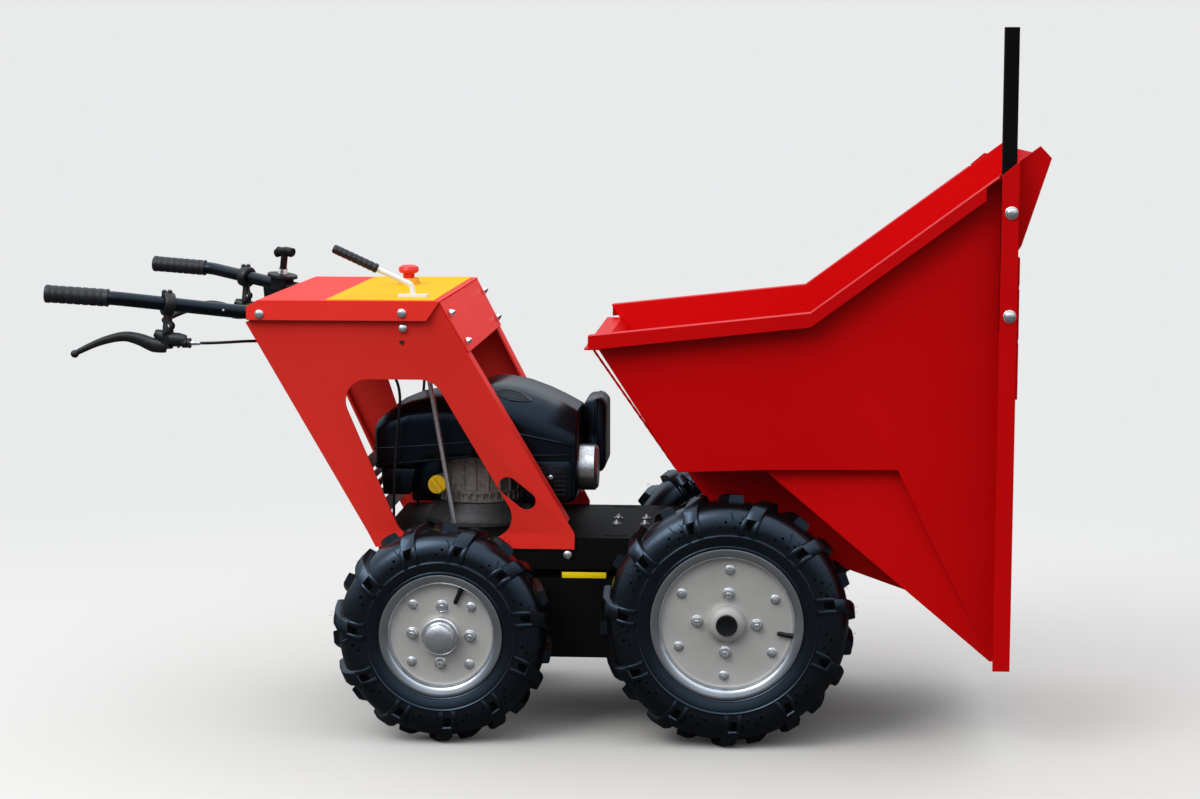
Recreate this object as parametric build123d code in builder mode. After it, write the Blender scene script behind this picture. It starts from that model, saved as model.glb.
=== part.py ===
from build123d import *
from math import cos, pi, radians, sqrt, tan
import os

os.makedirs("parts", exist_ok=True)

# Walk-behind four-wheel site dumper, millimetres. +X points to the front, where the tub
# pours, +Y to the machine's left side, +Z up. The wheels stand on z = 0, and the origin
# is below the middle of the whole length. The near side is y < 0.

# Running gear
front_axle_x = 325.4
wheelbase = 520.0
track = 525.0
front_tyre_d = 464.0
rear_tyre_d = 406.0
tyre_width = 105.0
lug_height = 12.0
lug_count = 11
lug_width = 33.0
lug_slot_width = 14.0
lug_slant = 0.55
widest_share = 0.4
tyre_sides = 33
front_seat_r = 127.0
rear_seat_r = 101.6
rim_flange_height = 11.0
rim_half_width = 40.0
rim_sheet = 4.0
hub_r = 34.0
hub_reach = 46.0
disc_dish = 22.0
stub_r = 15.0
axle_tube_r = 26.0
running_gap = 0.05
fit_gap = 0.3

# Chassis
deck_top_z = 366.0
deck_sheet = 6.0
deck_half_width = 185.0
deck_rear_overhang = 130.0
deck_front_reach = 30.0
rail_height = 54.0
rail_flange = 30.0
rail_sheet = 5.0
belly_bottom_z = 140.0
belly_inset = 2.0
neck_inset = 18.0
neck_height = 17.0
deck_slot_dx = -210.0
deck_slot_y = 160.0
deck_slot_length = 46.0
belly_front_reach = 62.0

# Tipping tub: side view, measured from the front axle, and half widths
sheet = 4.0
rim_half_width_y = 340.0
rim_flange_width = 28.0
rim_lip = 25.0
rim_sheet_t = 3.0
rim_rear = (-248.0, 756.0)
rim_bend = (144.0, 799.0)
rim_front = (540.0, 1091.0)
lip_tip = (560.0, 1070.0)
lip_foot = (511.0, 917.0)
rear_wall_drop = 25.0
rear_wall_foot = (-89.0, 508.0)
shelf_corner = (62.0, 514.0)
crease_corner = (302.0, 516.0)
arch_corner = (318.0, 297.0)
nose_corner = (472.0, 167.0)
keel_rear = (-9.0, 393.0)
keel_front = (341.0, 269.0)
front_plate_x = 502.0
rear_draft = 0.05
front_draft = 0.0375
arch_half_width = 280.0
keel_half_width = 175.0
inner_wall_x = 327.0
chute_drop = 31.0
chute_angle = 43.0
trough_rear_z = 424.0
trough_front_z = 400.0
pivot_dx = 278.0
pivot_z = 342.0
pivot_r = 12.0
front_angle_y = 345.0
front_angle_return = 30.0
front_angle_foot_z = 164.0
apron_foot_z = 647.0
apron_half_width = 318.0
apron_sheet = 6.0
apron_notches = (845.0, 750.0)
handle_size = 25.0
handle_top_z = 1295.0
handle_foot_z = 770.0

# Console and controls, measured from the front axle
console_rear = (-874.0, 771.0)
console_top_z = 812.0
cover_rear_dx = -850.0
cover_front_dx = -518.0
console_half_width = 288.0
console_foot_z = 345.0
console_bend_z = 374.0
console_sheet = 5.0
front_leg_foot_dx = -284.0
rear_leg_foot_dx = -655.0
cover_drop = 36.0
cover_tail = 20.0
front_panel_foot_z = 718.0
window_points = (
    (-693.0, 649.0),
    (-545.0, 649.0),
    (-399.0, 380.0),
    (-593.0, 380.0),
)
window_corner_r = 26.0
front_flange_depth = 40.0
rear_flange_depth = 28.0
flange_sheet = 4.0
panel_t = 3.0
leg_slot = ((-404.0, 484.0), (-360.0, 440.0))
leg_slot_r = 17.0

rear_guard_foot = (-648.0, 390.0)
rear_guard_head = (-700.0, 482.0)
panel_sheet_t = 1.5
sheet_rear_dx = -726.0
sheet_front_dx = -530.0
stop_dx = -629.0
stop_y = 85.0
lever_dx = -576.0
lever_y = -215.0
lever_rod_r = 5.0
rod_r = 4.5
lever_grip_r = 8.5
lever_grip_length = 88.0

# Handlebars
bar_r = 12.5
grip_r = 16.0
grip_length = 112.0
grip_end_dx = -1209.0
grip_end_z = 830.0
grip_end_y = 385.0
bar_bend_dx = -880.0
bar_bend_z = 788.0
bar_front_dx = -690.0
clamp_dx = -1003.0
lever_thick = 14.0
lever_outline = (
    (-12.0, -10.0),
    (-14.0, -39.0),
    (-27.0, -57.0),
    (-77.0, -51.0),
    (-124.0, -66.0),
    (-160.0, -84.0),
    (-163.0, -94.0),
    (-145.0, -85.0),
    (-118.0, -70.0),
    (-95.0, -67.0),
    (-60.0, -77.0),
    (-43.0, -83.0),
    (-14.0, -86.0),
    (30.0, -81.0),
    (31.0, -55.0),
    (21.0, -50.0),
    (12.0, -36.0),
    (12.0, -10.0),
)
lever_ball = (-164.0, -90.0)
throttle_dx = -920.0
throttle_disc_r = 30.0

# Engine, measured from the front axle
block_dx = -480.0
block_r = 82.0
cowl_foot_z = 502.0
cowl_half_width = 128.0
tank_half_width = 120.0
oil_cap_dx = -548.0
oil_cap_z = 453.0
oil_cap_r = 17.0
oil_cap_reach = 116.0
cowl_outline = (
    (-480.0, 502.0),
    (-480.0, 628.0),
    (-450.0, 641.0),
    (-395.0, 636.0),
    (-330.0, 612.0),
    (-285.0, 588.0),
    (-285.0, 432.0),
    (-300.0, 416.0),
    (-384.0, 416.0),
    (-388.0, 502.0),
)
cowl_crown = ((0.62, 646.0), (0.84, 612.0), (1.0, 560.0), (1.0, 400.0))
tank_outline = (
    (-652.0, 430.0),
    (-656.0, 478.0),
    (-667.0, 480.0),
    (-668.0, 578.0),
    (-640.0, 606.0),
    (-600.0, 614.0),
    (-480.5, 614.0),
    (-480.5, 502.3),
    (-570.0, 502.3),
    (-592.0, 480.0),
    (-600.0, 430.0),
)
tank_crown = ((0.86, 620.0), (1.0, 590.0), (1.0, 400.0))
cleaner_y = 85.0
cleaner_width = 130.0
cleaner_foot_z = 455.0
cleaner_height = 150.0
cleaner_depth = 45.0
starter_y = -35.0
starter_z = 476.0
starter_r = 44.0
starter_depth = 34.0
rod_offset_y = 45.0
cable_r = 2.75
adjuster_r = 5.0
adjuster_drop = 70.0
adjuster_reach = 59.0
cable_lead = 24.0
cable_route = (
    (-850.0, 205.0, 732.0),
    (-700.0, 165.0, 712.0),
    (-606.0, 160.0, 668.0),
    (-618.0, 158.0, 540.0),
    (-626.0, 154.0, 450.0),
    (-626.0, 154.0, deck_top_z),
)

front_wheel_z = front_tyre_d / 2
rear_wheel_z = rear_tyre_d / 2
rear_axle_x = front_axle_x - wheelbase
half_track = track / 2


def side_view(y):
    """Sketch plane across the machine at y: its own axes are +X and +Z."""
    return Plane.XZ.offset(-y)


def from_axle(point):
    """A side-view point given from the front axle, in the part's own frame."""
    return (front_axle_x + point[0], point[1])


def slab(points, y_low, y_high, inset=0):
    """A plate or block with this side-view outline, from y_low to y_high."""
    with BuildPart() as block:
        with BuildSketch(side_view(y_high)):
            with BuildLine():
                Polyline(*points, close=True)
            make_face()
            if inset > 0:
                offset(amount=-inset, kind=Kind.INTERSECTION)
        extrude(amount=y_high - y_low)
    return block.part


# Wheels, made about the Y axis with the outer face at +Y, then set on their axles. A tyre
# is one ring of rubber with raised bars on alternate sides of the crown.
across = Plane(origin=(0, 0, 0), x_dir=(1, 0, 0), z_dir=(0, 0, 1))


def tyre_ring(outer_d, seat_r):
    """Tyre with flat facets, so that four of them stay light: segments and forked bars."""
    base_r = outer_d / 2 - lug_height
    half = tyre_width / 2
    flange_r = seat_r + rim_flange_height
    widest_r = flange_r + widest_share * (base_r - flange_r)
    half_section = [
        (seat_r, rim_half_width - rim_sheet - 0.5),
        (widest_r, half - 5),
        (base_r, half - 21),
    ]
    other_half = [(r, -a) for r, a in reversed(half_section)]
    spread = base_r * tan(pi / tyre_sides)
    shift = (half + 4) * lug_slant / 2
    with BuildPart() as segment:
        with BuildSketch(across):
            with BuildLine():
                Polyline(*half_section, *other_half, close=True)
            make_face()
        extrude(amount=spread, both=True)
        with BuildSketch(side_view(half)):
            with BuildLine():
                Polyline((0, 0), (base_r, spread), (base_r, -spread), close=True)
            make_face()
        extrude(amount=2 * half, mode=Mode.INTERSECT)
    with BuildPart() as bar:
        with BuildSketch(across):
            with BuildLine():
                Polyline(
                    (widest_r + 2, half - 20),
                    (widest_r + 2, half - 3),
                    (base_r - 12, half),
                    (base_r + lug_height, half - 18),
                    (base_r + lug_height, -4),
                    (base_r - 12, -4),
                    (base_r - 30, half - 30),
                    close=True,
                )
            make_face()
        extrude(amount=outer_d / 4, both=True)
        with BuildSketch(Plane.YZ.offset(flange_r)):
            with BuildLine():
                Polyline(
                    (half, -lug_width / 2 - shift),
                    (half, lug_width / 2 - shift),
                    (-4, lug_width / 2 + shift),
                    (-4, -lug_width / 2 + shift),
                    close=True,
                )
            make_face()
        extrude(amount=base_r, mode=Mode.INTERSECT)
        with BuildSketch(Plane.XY.offset(-lug_slot_width / 2 - shift)):
            with Locations(((flange_r + base_r - 22) / 2, half)):
                Rectangle(base_r - 22 - flange_r, 30)
        extrude(amount=lug_slot_width, mode=Mode.SUBTRACT)
    step = 360 / lug_count
    near_bars = [bar.part.rotate(Axis.Y, 90 + n * step) for n in range(lug_count)]
    far_bar = mirror(bar.part, about=Plane.XZ)
    far_bars = [far_bar.rotate(Axis.Y, 90 + (n + 0.5) * step) for n in range(lug_count)]
    segments = [segment.part.rotate(Axis.Y, 90 + n * 360 / tyre_sides) for n in range(tyre_sides)]
    with BuildPart() as ring:
        add(segments)
        add(near_bars + far_bars)
    return ring.part


def wheel_disc(seat_r):
    """Pressed steel wheel: rolled flanges, barrel, disc and hub."""
    flange_r = seat_r + rim_flange_height
    bore_r = stub_r + running_gap
    section = [
        (flange_r, rim_half_width - 1),
        (seat_r, rim_half_width - rim_sheet),
        (seat_r, -rim_half_width + rim_sheet),
        (flange_r, -rim_half_width + 1),
        (flange_r, -rim_half_width - 2),
        (seat_r - rim_sheet, -rim_half_width + 1),
        (seat_r - rim_sheet, disc_dish - rim_sheet),
        (seat_r - 2 * rim_sheet, disc_dish),
        (hub_r, disc_dish),
        (hub_r, -10),
        (bore_r, -10),
        (bore_r, hub_reach - 8),
        (0, hub_reach - 8),
        (0, hub_reach),
        (hub_r - 14, hub_reach),
        (hub_r, hub_reach - 10),
        (hub_r, disc_dish + rim_sheet),
        (seat_r - 2 * rim_sheet, disc_dish + rim_sheet),
        (seat_r - rim_sheet, disc_dish + 2 * rim_sheet),
        (seat_r - rim_sheet, rim_half_width - 1),
        (flange_r, rim_half_width + 2),
    ]
    with BuildPart() as disc:
        with BuildSketch(across):
            with BuildLine():
                Polyline(*section, close=True)
            make_face()
        revolve(axis=Axis.Y)
    return disc.part


for axle_name, axle_x, tyre_d, seat_r in (
    ("front", front_axle_x, front_tyre_d, front_seat_r),
    ("rear", rear_axle_x, rear_tyre_d, rear_seat_r),
):
    left_tyre = tyre_ring(tyre_d, seat_r)
    left_disc = wheel_disc(seat_r)
    for side_name, turn in (("left", 0), ("right", 180)):
        name = axle_name + "_" + side_name
        wheel_y = half_track if turn == 0 else -half_track
        with BuildPart() as tyre:
            with Locations(Location((axle_x, wheel_y, tyre_d / 2), (0, 0, turn))):
                add(left_tyre)
        tyre.part.label = "tyre_" + name
        export_step(tyre.part, "parts/tyre_" + name + ".step")
        with BuildPart() as disc:
            with Locations(Location((axle_x, wheel_y, tyre_d / 2), (0, 0, turn))):
                add(left_disc)
        disc.part.label = "wheel_" + name
        export_step(disc.part, "parts/wheel_" + name + ".step")

# Chassis: two C rails under a folded deck, with a closed belly pan around the drive.
rail_half = deck_half_width
rail_top_z = deck_top_z - deck_sheet
rail_foot_z = rail_top_z - rail_height
deck_rear_x = rear_axle_x - deck_rear_overhang
deck_front_x = front_axle_x + deck_front_reach
belly_half = rail_half - belly_inset
belly_front_x = front_axle_x + belly_front_reach

with BuildPart() as deck_plate:
    with BuildSketch(Plane.XY.offset(rail_top_z)):
        with Locations(((deck_rear_x + deck_front_x) / 2, 0)):
            RectangleRounded(deck_front_x - deck_rear_x, 2 * deck_half_width, 12)
        with Locations(*[(front_axle_x + deck_slot_dx, side * deck_slot_y) for side in (1, -1)]):
            SlotOverall(deck_slot_length, 8, mode=Mode.SUBTRACT)
    extrude(amount=deck_sheet)
deck_plate.part.label = "deck_plate"
export_step(deck_plate.part, "parts/deck_plate.step")

with BuildPart() as chassis_rails:
    for side in (1, -1):
        with BuildSketch(Plane.YZ.offset(deck_rear_x)):
            with BuildLine():
                Polyline(
                    (side * rail_half, rail_top_z),
                    (side * (rail_half - rail_flange), rail_top_z),
                    (side * (rail_half - rail_flange), rail_top_z - rail_sheet),
                    (side * (rail_half - rail_sheet), rail_top_z - rail_sheet),
                    (side * (rail_half - rail_sheet), rail_foot_z + rail_sheet),
                    (side * (rail_half - rail_flange), rail_foot_z + rail_sheet),
                    (side * (rail_half - rail_flange), rail_foot_z),
                    (side * rail_half, rail_foot_z),
                    close=True,
                )
            make_face()
        extrude(amount=deck_front_x - deck_rear_x)
chassis_rails.part.label = "chassis_rails"
export_step(chassis_rails.part, "parts/chassis_rails.step")

neck_foot_z = rail_foot_z - neck_height
with BuildPart() as belly_pan:
    with BuildSketch(side_view(belly_half)):
        with BuildLine():
            Polyline(
                (deck_rear_x + 20, neck_foot_z),
                (deck_rear_x + 20, belly_bottom_z + 60),
                (deck_rear_x + 70, belly_bottom_z),
                (belly_front_x - 50, belly_bottom_z),
                (belly_front_x, belly_bottom_z + 50),
                (belly_front_x, neck_foot_z),
                close=True,
            )
        make_face()
    extrude(amount=2 * belly_half)
    with BuildSketch(Plane.XY.offset(neck_foot_z)):
        with Locations(((deck_rear_x + belly_front_x) / 2 + 10, 0)):
            Rectangle(belly_front_x - deck_rear_x - 20, 2 * (rail_half - neck_inset))
    extrude(amount=neck_height)
belly_pan.part.label = "belly_pan"
export_step(belly_pan.part, "parts/belly_pan.step")

# Axles: a tube out of each side of the belly pan and a turned stub for the wheel.
for name, axle_x, axle_z in (
    ("front_axle", front_axle_x, front_wheel_z),
    ("rear_axle", rear_axle_x, rear_wheel_z),
):
    tube_end = half_track - tyre_width / 2 - 6
    stub_end = half_track + hub_reach - 8 - 2
    with BuildPart() as axle:
        for side in (1, -1):
            with BuildSketch(Plane((axle_x, side * belly_half, axle_z), x_dir=(1, 0, 0), z_dir=(0, side, 0))):
                Circle(axle_tube_r)
            extrude(amount=tube_end - belly_half)
            with BuildSketch(Plane((axle_x, side * belly_half, axle_z), x_dir=(1, 0, 0), z_dir=(0, side, 0))):
                Circle(stub_r)
            extrude(amount=stub_end - belly_half)
    axle.part.label = name
    export_step(axle.part, "parts/" + name + ".step")

# Pivot arms: two plates on the pan's front, inside the tub's keel, with eyes for the pin.
pivot_x = front_axle_x + pivot_dx
arm_half = 120.0
arm_thick = 14.0
with BuildPart() as pivot_arms:
    for side in (1, -1):
        with BuildSketch(side_view(side * arm_half + arm_thick / 2)):
            with BuildLine():
                Polyline(
                    (belly_front_x, 210),
                    (pivot_x - 26, pivot_z - 26),
                    (pivot_x, pivot_z - 30),
                    (pivot_x + 26, pivot_z - 15),
                    (pivot_x + 26, pivot_z + 15),
                    (pivot_x, pivot_z + 26),
                    (pivot_x - 30, pivot_z + 24),
                    (belly_front_x, rail_foot_z - 4),
                    close=True,
                )
            make_face()
            with Locations((pivot_x, pivot_z)):
                Circle(pivot_r + running_gap, mode=Mode.SUBTRACT)
        extrude(amount=arm_thick)
pivot_arms.part.label = "pivot_arms"
export_step(pivot_arms.part, "parts/pivot_arms.step")

# Rest: a rubber block that the trough floor lies on.
rest_x = front_axle_x - 5
floor_slope = (trough_front_z - trough_rear_z) / (inner_wall_x + 31)


def trough_under_z(dx):
    return trough_rear_z + floor_slope * (dx + 31) - sheet


with BuildPart() as rest_block:
    with BuildSketch(side_view(50)):
        with BuildLine():
            Polyline(
                (rest_x - 22, deck_top_z),
                (rest_x + 22, deck_top_z),
                (rest_x + 22, trough_under_z(rest_x + 22 - front_axle_x) - 1),
                (rest_x - 22, trough_under_z(rest_x - 22 - front_axle_x) - 1),
                close=True,
            )
        make_face()
    extrude(amount=100)
rest_block.part.label = "tub_rest"
export_step(rest_block.part, "parts/tub_rest.step")

# Tub. Its outer form is three prisms one inside the other: the drafted hopper and nose, a
# narrower one over the wheels, and the keel. The walls are what stays when the same prisms,
# one sheet smaller, are taken out of them.
rear, bend, front = from_axle(rim_rear), from_axle(rim_bend), from_axle(rim_front)
wall_foot, shelf, crease = from_axle(rear_wall_foot), from_axle(shelf_corner), from_axle(crease_corner)
arch, nose = from_axle(arch_corner), from_axle(nose_corner)
lip_out, lip_in = from_axle(lip_tip), from_axle(lip_foot)
panel_half = rim_half_width_y - rim_flange_width
rear_slope = (bend[1] - rear[1]) / (bend[0] - rear[0])
front_slope = (front[1] - bend[1]) / (front[0] - bend[0])
wall_lean = (wall_foot[0] - rear[0]) / (rear[1] - wall_foot[1])
lip_lean = (lip_out[0] - lip_in[0]) / (lip_out[1] - lip_in[1])
front_x = front_axle_x + front_plate_x
nose_x = front_x - sheet
over_rim = 300.0


def drafted(points, half, draft, slope, inset=0):
    """The outline as a prism across the tub, narrowing below the rim line through bend."""
    with BuildPart() as body:
        add(slab(points, -half - 60, half + 60, inset))
        for side in (1, -1):
            face = Plane(
                origin=(bend[0], side * half, bend[1]),
                x_dir=(1, 0, slope),
                z_dir=(-draft * slope, -side, draft),
            )
            split(bisect_by=face, keep=Keep.TOP)
    return body.part


def hopper(points, wall, inset=0):
    """A prism inside both pairs of drafted side faces, wall mm further in."""
    with BuildPart() as form:
        add(drafted(points, panel_half - wall, rear_draft, rear_slope, inset))
        add(
            drafted(points, panel_half - wall, front_draft, front_slope, inset),
            mode=Mode.INTERSECT,
        )
    return form.part


low_front = (nose_x, nose[1])
nose_top = (nose_x, lip_in[1] - 20)
tall_rear = (rear[0] - over_rim * wall_lean, rear[1] + over_rim)
tall_lip = (lip_out[0] + over_rim * lip_lean, lip_out[1] + over_rim)
hopper_floor = [wall_foot, shelf, crease, nose, low_front, nose_top, lip_in]
arch_outline = [shelf, arch, nose, low_front, nose_top, (shelf[0], shelf[1] + 120)]
keel_outline = [
    wall_foot,
    from_axle(keel_rear),
    from_axle(keel_front),
    nose,
    low_front,
    nose_top,
    (wall_foot[0] - 40 * wall_lean, wall_foot[1] + 40),
]


def tub_form(top_points, wall):
    """The whole form under top_points, with every face wall mm further in."""
    with BuildPart() as form:
        add(hopper([*hopper_floor, *top_points], wall, wall))
        add(slab(arch_outline, -arch_half_width + wall, arch_half_width - wall, wall))
        add(slab(keel_outline, -keel_half_width + wall, keel_half_width - wall, wall))
    return form.part


# The wall between load space and nose: upright, then the chute, just under the lip. Under
# the trough floor the keel is an open tunnel for the pivot arms.
inner_x = front_axle_x + inner_wall_x
chute_rise = tan(radians(chute_angle))
chute_lift = sheet / cos(radians(chute_angle))
chute_end_x = lip_out[0] + 40
chute_end_z = lip_out[1] - chute_drop + (chute_end_x - lip_out[0]) * chute_rise
chute_foot_z = chute_end_z - (chute_end_x - inner_x) * chute_rise
chute_strip = [
    (inner_x, nose[1] - 40),
    (inner_x, chute_foot_z),
    (chute_end_x, chute_end_z),
    (chute_end_x, chute_end_z + chute_lift),
    (inner_x - sheet, chute_foot_z - sheet * chute_rise + chute_lift),
    (inner_x - sheet, nose[1] - 40),
]
trough_rear_x = wall_foot[0] + (wall_foot[1] - trough_rear_z) * wall_lean
floor_strip = [
    (trough_rear_x - 40, trough_rear_z),
    (trough_rear_x, trough_rear_z),
    (inner_x - sheet, trough_front_z),
    (inner_x - sheet, trough_front_z - sheet),
    (trough_rear_x, trough_rear_z - sheet),
    (trough_rear_x - 40, trough_rear_z - sheet),
]
tunnel = [
    (trough_rear_x - 40, trough_rear_z - sheet),
    (trough_rear_x, trough_rear_z - sheet),
    (inner_x - sheet, trough_front_z - sheet),
    (inner_x - sheet, nose[1] - 40),
    (trough_rear_x - 40, nose[1] - 40),
]
tunnel_half = keel_half_width - sheet
with BuildPart() as inside:
    add(tub_form([tall_lip, tall_rear], sheet))
with BuildPart() as tub_walls:
    add(tub_form([lip_out, front, bend, rear], 0))
    add(inside.part, mode=Mode.SUBTRACT)
    add(slab(tunnel, -tunnel_half, tunnel_half), mode=Mode.SUBTRACT)

with BuildPart() as tub_chute:
    add(inside.part)
    add(slab(chute_strip, -panel_half - 60, panel_half + 60), mode=Mode.INTERSECT)
tub_chute.part.label = "tub_chute"
export_step(tub_chute.part, "parts/tub_chute.step")

with BuildPart() as trough_floor:
    add(inside.part)
    add(slab(floor_strip, -tunnel_half, tunnel_half), mode=Mode.INTERSECT)

# The panels are welded edge to edge. Rear panel and lip fit between the side panels, the
# front plate closes the nose, and the side panels are cut from the keel at its cheeks.
face_run = sheet * sqrt(1 + wall_lean**2)
rear_top_z = rear[1] - rear_wall_drop
rear_band = [
    tall_rear,
    wall_foot,
    (trough_rear_x, trough_rear_z - sheet),
    (trough_rear_x + face_run, trough_rear_z - sheet),
    (wall_foot[0] + face_run, wall_foot[1]),
    (tall_rear[0] + face_run, tall_rear[1]),
]
lip_band = [
    (nose_x - 3 * sheet, nose_top[1]),
    (lip_in[0] + 30, nose_top[1]),
    (tall_lip[0] + 30, tall_lip[1]),
    (tall_lip[0] - 3 * sheet, tall_lip[1]),
    (lip_in[0] - 3 * sheet, lip_in[1]),
    (nose_x - 3 * sheet, lip_in[1]),
]
front_band = [
    (nose_x - sheet, nose[1] - 20),
    (nose_x + 20, nose[1] - 20),
    (nose_x + 20, nose_top[1]),
    (nose_x - sheet, nose_top[1]),
]
over_rear = [
    (rear[0] - 60, rear_top_z),
    (rear[0] + 90, rear_top_z),
    (rear[0] + 90, rear_top_z + 60),
    (rear[0] - 60, rear_top_z + 60),
]
flange_x = rear[0] + rear_wall_drop * wall_lean
with BuildPart() as tub_rear_panel:
    add(tub_walls.part)
    add(hopper(rear_band, sheet), mode=Mode.INTERSECT)
    add(slab(over_rear, -panel_half - 60, panel_half + 60), mode=Mode.SUBTRACT)
    with BuildSketch(side_view(panel_half - sheet - 1)):
        with BuildLine():
            Polyline(
                (flange_x, rear_top_z),
                (flange_x - rim_lip, rear_top_z),
                (flange_x - rim_lip, rear_top_z - rim_sheet_t),
                (flange_x + rim_sheet_t * wall_lean, rear_top_z - rim_sheet_t),
                close=True,
            )
        make_face()
    extrude(amount=2 * (panel_half - sheet - 1))
tub_rear_panel.part.label = "tub_rear_panel"
export_step(tub_rear_panel.part, "parts/tub_rear_panel.step")

with BuildPart() as tub_lip:
    add(tub_walls.part)
    add(hopper(lip_band, sheet), mode=Mode.INTERSECT)
tub_lip.part.label = "tub_lip"
export_step(tub_lip.part, "parts/tub_lip.step")

with BuildPart() as side_walls:
    add(tub_walls.part)
    add(hopper(rear_band, sheet), mode=Mode.SUBTRACT)
    add(hopper(lip_band, sheet), mode=Mode.SUBTRACT)
    add(hopper(front_band, sheet), mode=Mode.SUBTRACT)
with BuildPart() as tub_keel:
    add(side_walls.part)
    with Locations((wall_foot[0], 0, 0)):
        Box(3000, 2 * keel_half_width, 4 * lip_out[1], mode=Mode.INTERSECT)
    add(trough_floor.part)
    with Locations(Location((pivot_x, 0, pivot_z), (90, 0, 0))):
        Cylinder(pivot_r + running_gap, 3 * keel_half_width, mode=Mode.SUBTRACT)
tub_keel.part.label = "tub_keel"
export_step(tub_keel.part, "parts/tub_keel.step")
for name, side in (("left", 1), ("right", -1)):
    with BuildPart() as side_panel:
        add(side_walls.part)
        with Locations((wall_foot[0], side * (keel_half_width + 500), 0)):
            Box(3000, 1000, 4 * lip_out[1], mode=Mode.INTERSECT)
    side_panel.part.label = "tub_side_" + name
    export_step(side_panel.part, "parts/tub_side_" + name + ".step")


def rim_z(x):
    """Height of the rim line at x."""
    slope = rear_slope if x < bend[0] else front_slope
    return bend[1] + slope * (x - bend[0])


# Rim: an angle along the top of each side panel, folded down outside.
lip_end_x = front_x - front_angle_return - 26
leg_end_x = front_x - front_angle_return - 4
rim_profile = [rear, bend, (leg_end_x, rim_z(leg_end_x))]
fold_profile = [rear, bend, (lip_end_x, rim_z(lip_end_x))]
with BuildPart() as tub_rims:
    for side in (1, -1):
        near, far = sorted((side * (panel_half + 0.02), side * rim_half_width_y))
        add(slab([*rim_profile, *[(x, z - rim_sheet_t) for x, z in reversed(rim_profile)]], near, far))
        near, far = sorted((side * (rim_half_width_y - rim_sheet_t), side * rim_half_width_y))
        add(slab([*fold_profile, *[(x, z - rim_lip) for x, z in reversed(fold_profile)]], near, far))
tub_rims.part.label = "tub_rims"
export_step(tub_rims.part, "parts/tub_rims.step")

# Front plate: one folded sheet that closes the nose and stands out past the side panels,
# with its edges turned back as flanges that run up beside the lip.
with BuildPart() as tub_front_plate:
    with BuildSketch(Plane.YZ.offset(nose_x)):
        with BuildLine():
            Polyline(
                (-front_angle_y, front_angle_foot_z),
                (front_angle_y, front_angle_foot_z),
                (front_angle_y, rim_z(front_x)),
                (panel_half + 1, rim_z(front_x)),
                (panel_half + 1, nose_top[1]),
                (-panel_half - 1, nose_top[1]),
                (-panel_half - 1, rim_z(front_x)),
                (-front_angle_y, rim_z(front_x)),
                close=True,
            )
        make_face()
    extrude(amount=sheet)
    return_x = front_x - front_angle_return
    for side in (1, -1):
        near, far = sorted((side * (front_angle_y - sheet), side * front_angle_y))
        edge = [
            (return_x, front_angle_foot_z),
            (nose_x, front_angle_foot_z),
            (nose_x, rim_z(front_x)),
            (return_x, rim_z(return_x)),
        ]
        add(slab(edge, near, far))
tub_front_plate.part.label = "tub_front_plate"
export_step(tub_front_plate.part, "parts/tub_front_plate.step")

with BuildPart() as tub_apron:
    with BuildSketch(Plane.YZ.offset(front_x)):
        with Locations((0, (apron_foot_z + nose_top[1]) / 2)):
            Rectangle(2 * apron_half_width, nose_top[1] - apron_foot_z)
        for side in (1, -1):
            with Locations(*[(side * apron_half_width, z) for z in apron_notches]):
                Rectangle(14, 8, mode=Mode.SUBTRACT)
    extrude(amount=apron_sheet)
tub_apron.part.label = "tub_apron"
export_step(tub_apron.part, "parts/tub_apron.step")

# Handle: a square tube inside the near flange, standing up past the lip.
handle_x = nose_x - fit_gap - handle_size / 2
handle_y = -(front_angle_y - sheet - fit_gap - handle_size / 2)
with BuildPart() as tub_handle:
    with BuildSketch(Plane.XY.offset(handle_foot_z)):
        with Locations((handle_x, handle_y)):
            RectangleRounded(handle_size, handle_size, 3.5)
            RectangleRounded(handle_size - 5, handle_size - 5, 1.5, mode=Mode.SUBTRACT)
    extrude(amount=handle_top_z - handle_foot_z)
tub_handle.part.label = "tub_handle"
export_step(tub_handle.part, "parts/tub_handle.step")

with BuildPart() as tub_pivot_pin:
    with BuildSketch(side_view(keel_half_width - fit_gap)):
        with Locations((pivot_x, pivot_z)):
            Circle(pivot_r)
    extrude(amount=2 * (keel_half_width - fit_gap))
tub_pivot_pin.part.label = "tub_pivot_pin"
export_step(tub_pivot_pin.part, "parts/tub_pivot_pin.step")

# Console: two bent side plates that lean outwards from the rails, a folded cover, a front
# panel and a rear guard between them.
foot_y = rail_half + fit_gap
plate_top_z = console_top_z - rim_sheet_t - fit_gap
plate_top_y = console_half_width - rim_sheet_t - fit_gap
lean = (plate_top_y - foot_y - console_sheet) / (plate_top_z - console_bend_z)


def plate_y(z):
    """Outer face of a console side plate at height z."""
    return foot_y + console_sheet + max(0.0, z - console_bend_z) * lean


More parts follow.
